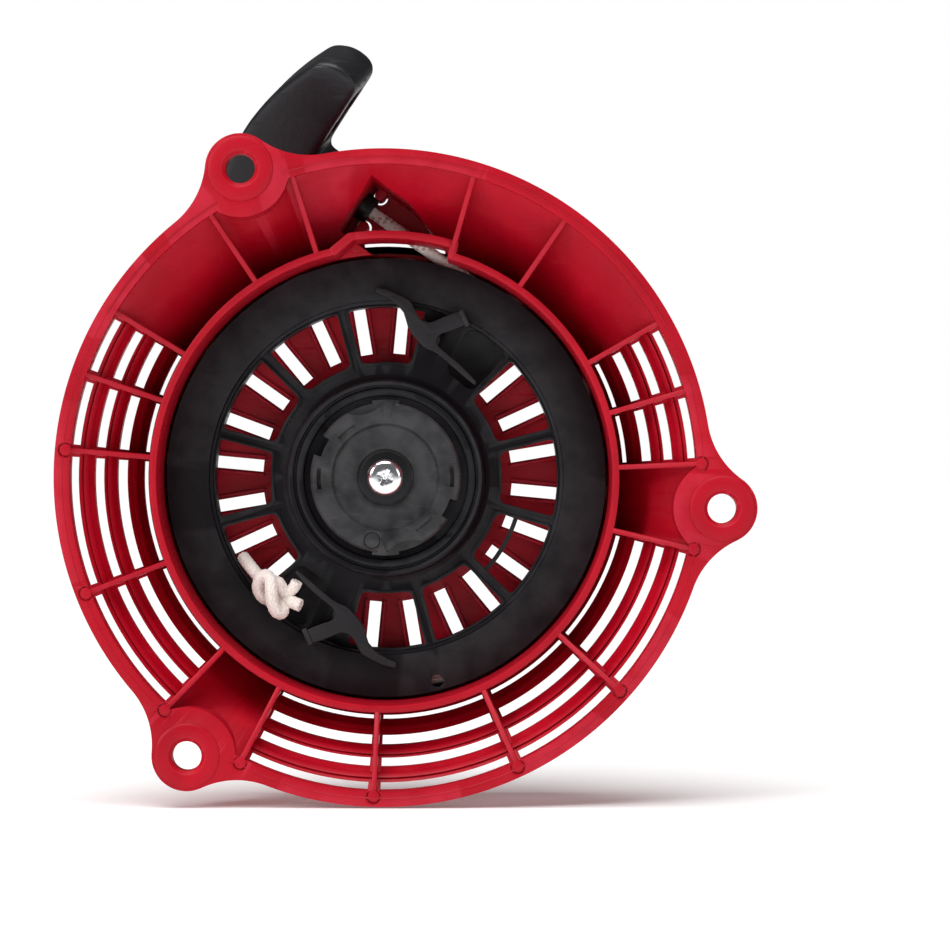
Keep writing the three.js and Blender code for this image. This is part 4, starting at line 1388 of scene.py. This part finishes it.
def braid(name, points, r, step=0.55, sides=6, tracer=1.0):
    """A braided rope of radius r along a path. Returns the object and its length.

    The yarn map's second number picks the yarn, and a tracer of 0.8 leaves the dark ones out.
    """
    even, length = smooth_path(points, step)
    frames = path_frames(even)
    verts, faces, yarn_of = [], [], []
    thick, width = r * 0.17, r * 0.36
    for index in range(2 * YARNS + 1):
        core = index == 2 * YARNS
        way = 1 if index < YARNS else -1
        base = 2 * math.pi * ((index % YARNS) + (0 if way > 0 else 0.5)) / YARNS
        first = len(verts)
        for i, (point, tangent, one, two) in enumerate(frames):
            along = length * i / (len(frames) - 1)
            turn = base + way * 2 * math.pi * along / PITCH
            out = one * math.cos(turn) + two * math.sin(turn)
            side = (tangent.cross(out) * 1.0 - tangent * (way * 0.5)).normalized()
            swing = math.sin(2 * math.pi * YARNS * along / PITCH) * (1 if way > 0 else -1)
            middle = point + out * (r - thick - r * 0.07 + r * 0.06 * swing)
            for k in range(sides):
                a = 2 * math.pi * k / sides
                if core:
                    spot = point + (one * math.cos(a) + two * math.sin(a)) * r * 0.72
                else:
                    spot = middle + out * (thick * math.sin(a)) + side * (width * math.cos(a))
                verts.append(spot * MM)
        for i in range(len(frames) - 1):
            for k in range(sides):
                a = first + i * sides + k
                b = first + i * sides + (k + 1) % sides
                faces.append((a, b, b + sides, a + sides))
                yarn_of.append(index)
        last = first + (len(frames) - 1) * sides
        faces.append(tuple(first + k for k in reversed(range(sides))))
        faces.append(tuple(last + k for k in range(sides)))
        yarn_of.extend([index, index])
    mesh = bpy.data.meshes.new(name)
    mesh.from_pydata(verts, [], faces)
    layer = mesh.uv_layers.new(name="yarn")
    for polygon, index in zip(mesh.polygons, yarn_of):
        for loop in polygon.loop_indices:
            layer.data[loop].uv = (0.5, tracer * (index % (2 * YARNS) + 0.5) / (2 * YARNS))
    obj = bpy.data.objects.new(name, mesh)
    bpy.context.scene.collection.objects.link(obj)
    edit(obj)
    bpy.ops.mesh.normals_make_consistent(inside=False)
    bpy.ops.object.mode_set(mode="OBJECT")
    bpy.ops.object.shade_smooth()
    return obj, length


print("braid of", 2 * YARNS, "yarns, one turn in", PITCH, "mm")

# %% [markdown]
# The rope's pieces
#
# The rope is wound on the reel, leaves it at a tangent, runs through the bush and ends in a knot
# inside the grip. Its other end comes up through a window of the reel and is tied in a stopper
# knot. It is held at both ends, so no part of it hangs free.

# %% Winding, span and lead
ROPE_R = 1.75
ROPE_TURNS = 3
GRIP_CENTRE = 76.0


def rope_point(along):
    x, z = rope_plan(along)
    return Vector((x, ROPE_DEPTH, z))


def winding_path():
    """A spiral that ends where the rope leaves the reel."""
    points = []
    count = 24 * ROPE_TURNS
    end = ROPE_ANGLE - 90
    for i in range(count + 1):
        share = i / count
        r = WIND_R - (1 - share) * 2 * ROPE_R * ROPE_TURNS * 0.64
        x, z = flat(r, end - FULL_TURN * ROPE_TURNS * (1 - share))
        points.append((x, ROPE_DEPTH + 0.7 * math.sin(2.4 * share * math.pi), z))
    return points


winding, winding_length = braid("rope_winding_braid", winding_path(), ROPE_R, 1.6, 4)
dress(winding, ROPE, "reel", "rope", "rope_winding")
rope_run, run_length = braid("rope_span_braid", [rope_point(a) for a in (-3, 10, 25, 50)], ROPE_R)
dress(rope_run, ROPE, "case", "rope", "rope_span")
lead, lead_length = braid("rope_lead_braid",
                          [rope_point(a) for a in (49.8, 56, 64, GRIP_CENTRE - 3)], ROPE_R)
lead.data.materials.append(ROPE)
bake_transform(lead)
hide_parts("rope_lead")
print("rope on the reel", round(winding_length), "mm, run and lead",
      round(run_length + lead_length), "mm")

# %% Stopper knot
KNOT_ROPE_R = 1.85
KNOT_PATH = [
    (-39.4, 36.6, -21.8), (-38.0, 34.4, -23.4), (-36.2, 32.2, -25.4), (-34.0, 31.0, -27.8),
    (-31.8, 30.9, -30.2), (-29.6, 30.4, -32.6), (-28.1, 29.2, -34.8), (-28.2, 27.4, -36.7),
    (-29.6, 26.2, -36.4), (-30.7, 25.4, -33.8), (-31.0, 25.2, -30.6), (-31.2, 25.6, -28.0),
    (-32.4, 26.6, -26.6), (-34.0, 27.6, -27.4), (-34.7, 28.8, -30.0), (-33.6, 29.8, -32.4),
    (-31.2, 30.8, -33.6), (-28.4, 30.2, -33.4), (-25.8, 28.4, -33.8), (-23.2, 27.6, -34.8)]
TUCK_PATH = [(-31.0, 27.0, -28.0), (-29.0, 27.2, -28.6), (-28.0, 28.4, -30.6),
             (-26.9, 29.0, -31.4), (-25.1, 28.6, -30.0), (-24.2, 28.2, -28.4)]
knot, knot_length = braid("rope_knot_braid", KNOT_PATH, KNOT_ROPE_R, 0.5, tracer=0.8)
dress(knot, ROPE, "reel", "rope", "rope_knot", "rope_anchor")
tail, tail_length = braid("rope_tail_braid", TUCK_PATH, KNOT_ROPE_R * 0.92, 0.5,
                          tracer=0.8)
dress(tail, ROPE, "reel", "rope", "rope_tail")
print("rope in the knot", round(knot_length + tail_length), "mm")

# %% [markdown]
# The grip
#
# The grip is a thick curved bar on a short stem. A smooth moulding like this has no sharp edge
# anywhere, so we extrude its outline, join the stem, remesh the whole into small even faces and
# let a Smooth modifier round it. Two finger hollows are cut in the side that faces the case.

# %% Grip
GRIP = {"half": 36.4, "width": 10.2, "tip": 6.0, "bow": 5.0, "thick": 15.6, "stem": 20.0}
GRIP_TILT = 35.0


def grip_matrix():
    """The grip's own axes: x along the bar, y along the rope, z through its thickness."""
    along = Vector(JOINTS["grip_pull"]["axis"]).normalized()
    across = Vector((along.z, 0, -along.x))
    tilt = math.radians(GRIP_TILT)
    bar = across * math.cos(tilt) + Vector((0, -1, 0)) * math.sin(tilt)
    face = bar.cross(along)
    place = Matrix((bar, along, face)).transposed().to_4x4()
    place.translation = rope_point(GRIP_CENTRE) * MM
    return place


def grip_outline():
    half, tip = GRIP["half"], GRIP["tip"]
    spread = GRIP["width"] - tip

    def crest(x):
        return GRIP["width"] - (GRIP["bow"] + spread) * (x / half) ** 2

    def belly(x):
        return -GRIP["width"] + (spread - GRIP["bow"]) * (x / half) ** 2

    reach = half - tip * 0.55
    xs = [reach * i / 20 for i in range(-20, 21)]
    top = [(x, crest(x)) for x in xs]
    end_y = -GRIP["bow"]
    right = [(half - 0.8, end_y + tip * 0.62), (half, end_y), (half - 0.8, end_y - tip * 0.62)]
    bottom = [(x, belly(x)) for x in reversed(xs)]
    left = [(-x, y) for x, y in reversed(right)]
    return [*top, *right, *bottom, *left]


def grip_part(name, outline, low, high):
    """An outline in the grip's own x and y, extruded through its thickness."""
    obj = new_loop([Vector((x, y, low)) * MM for x, y in outline], fill="NGON")
    edit(obj)
    push(0, 0, high - low)
    return close_mesh(name, obj)


def remeshed(obj, size, rounds):
    """Small even faces all over, then rounds of smoothing."""
    pick(obj)
    apply_modifier(obj, "REMESH", mode="VOXEL", voxel_size=size * MM)
    apply_modifier(obj, "SMOOTH", factor=0.8, iterations=rounds)
    bpy.ops.object.shade_smooth()
    return obj


def grip_body():
    half = GRIP["thick"] / 2
    bar = grip_part("grip_moulding", grip_outline(), -half, half)
    stem = grip_part("stem", [(-7.0, -8), (-7.4, -15), (-6.6, -GRIP["stem"]),
                              (6.6, -GRIP["stem"]), (7.4, -15), (7.0, -8)], -6.2, 6.2)
    boolean(bar, [stem], "UNION")
    remeshed(bar, 0.7, 16)
    troughs = [grip_part("trough", [(sign * 10.5, -3), (sign * 29, -5), (sign * 29, -16),
                                    (sign * 10.5, -16)][::sign], -4.4, 4.4) for sign in (1, -1)]
    for trough in troughs:
        boolean(bar, [soften(trough, 1.4, 4)])
    deselect()
    bpy.ops.mesh.primitive_cylinder_add(vertices=32, radius=2.4 * MM, depth=24 * MM,
                                        location=(0, -14 * MM, 0), rotation=(math.pi / 2, 0, 0))
    boolean(bar, [bpy.context.object])
    remeshed(bar, 0.55, 3)
    bar.data.transform(grip_matrix())
    return bar


dress(grip_body(), GRIP_BLACK, "grip", "grip_black", "grip_body")

# %% [markdown]
# Finish
#
# At the end the view layer is brought up to date.

# %% Finish
bpy.context.view_layer.update()
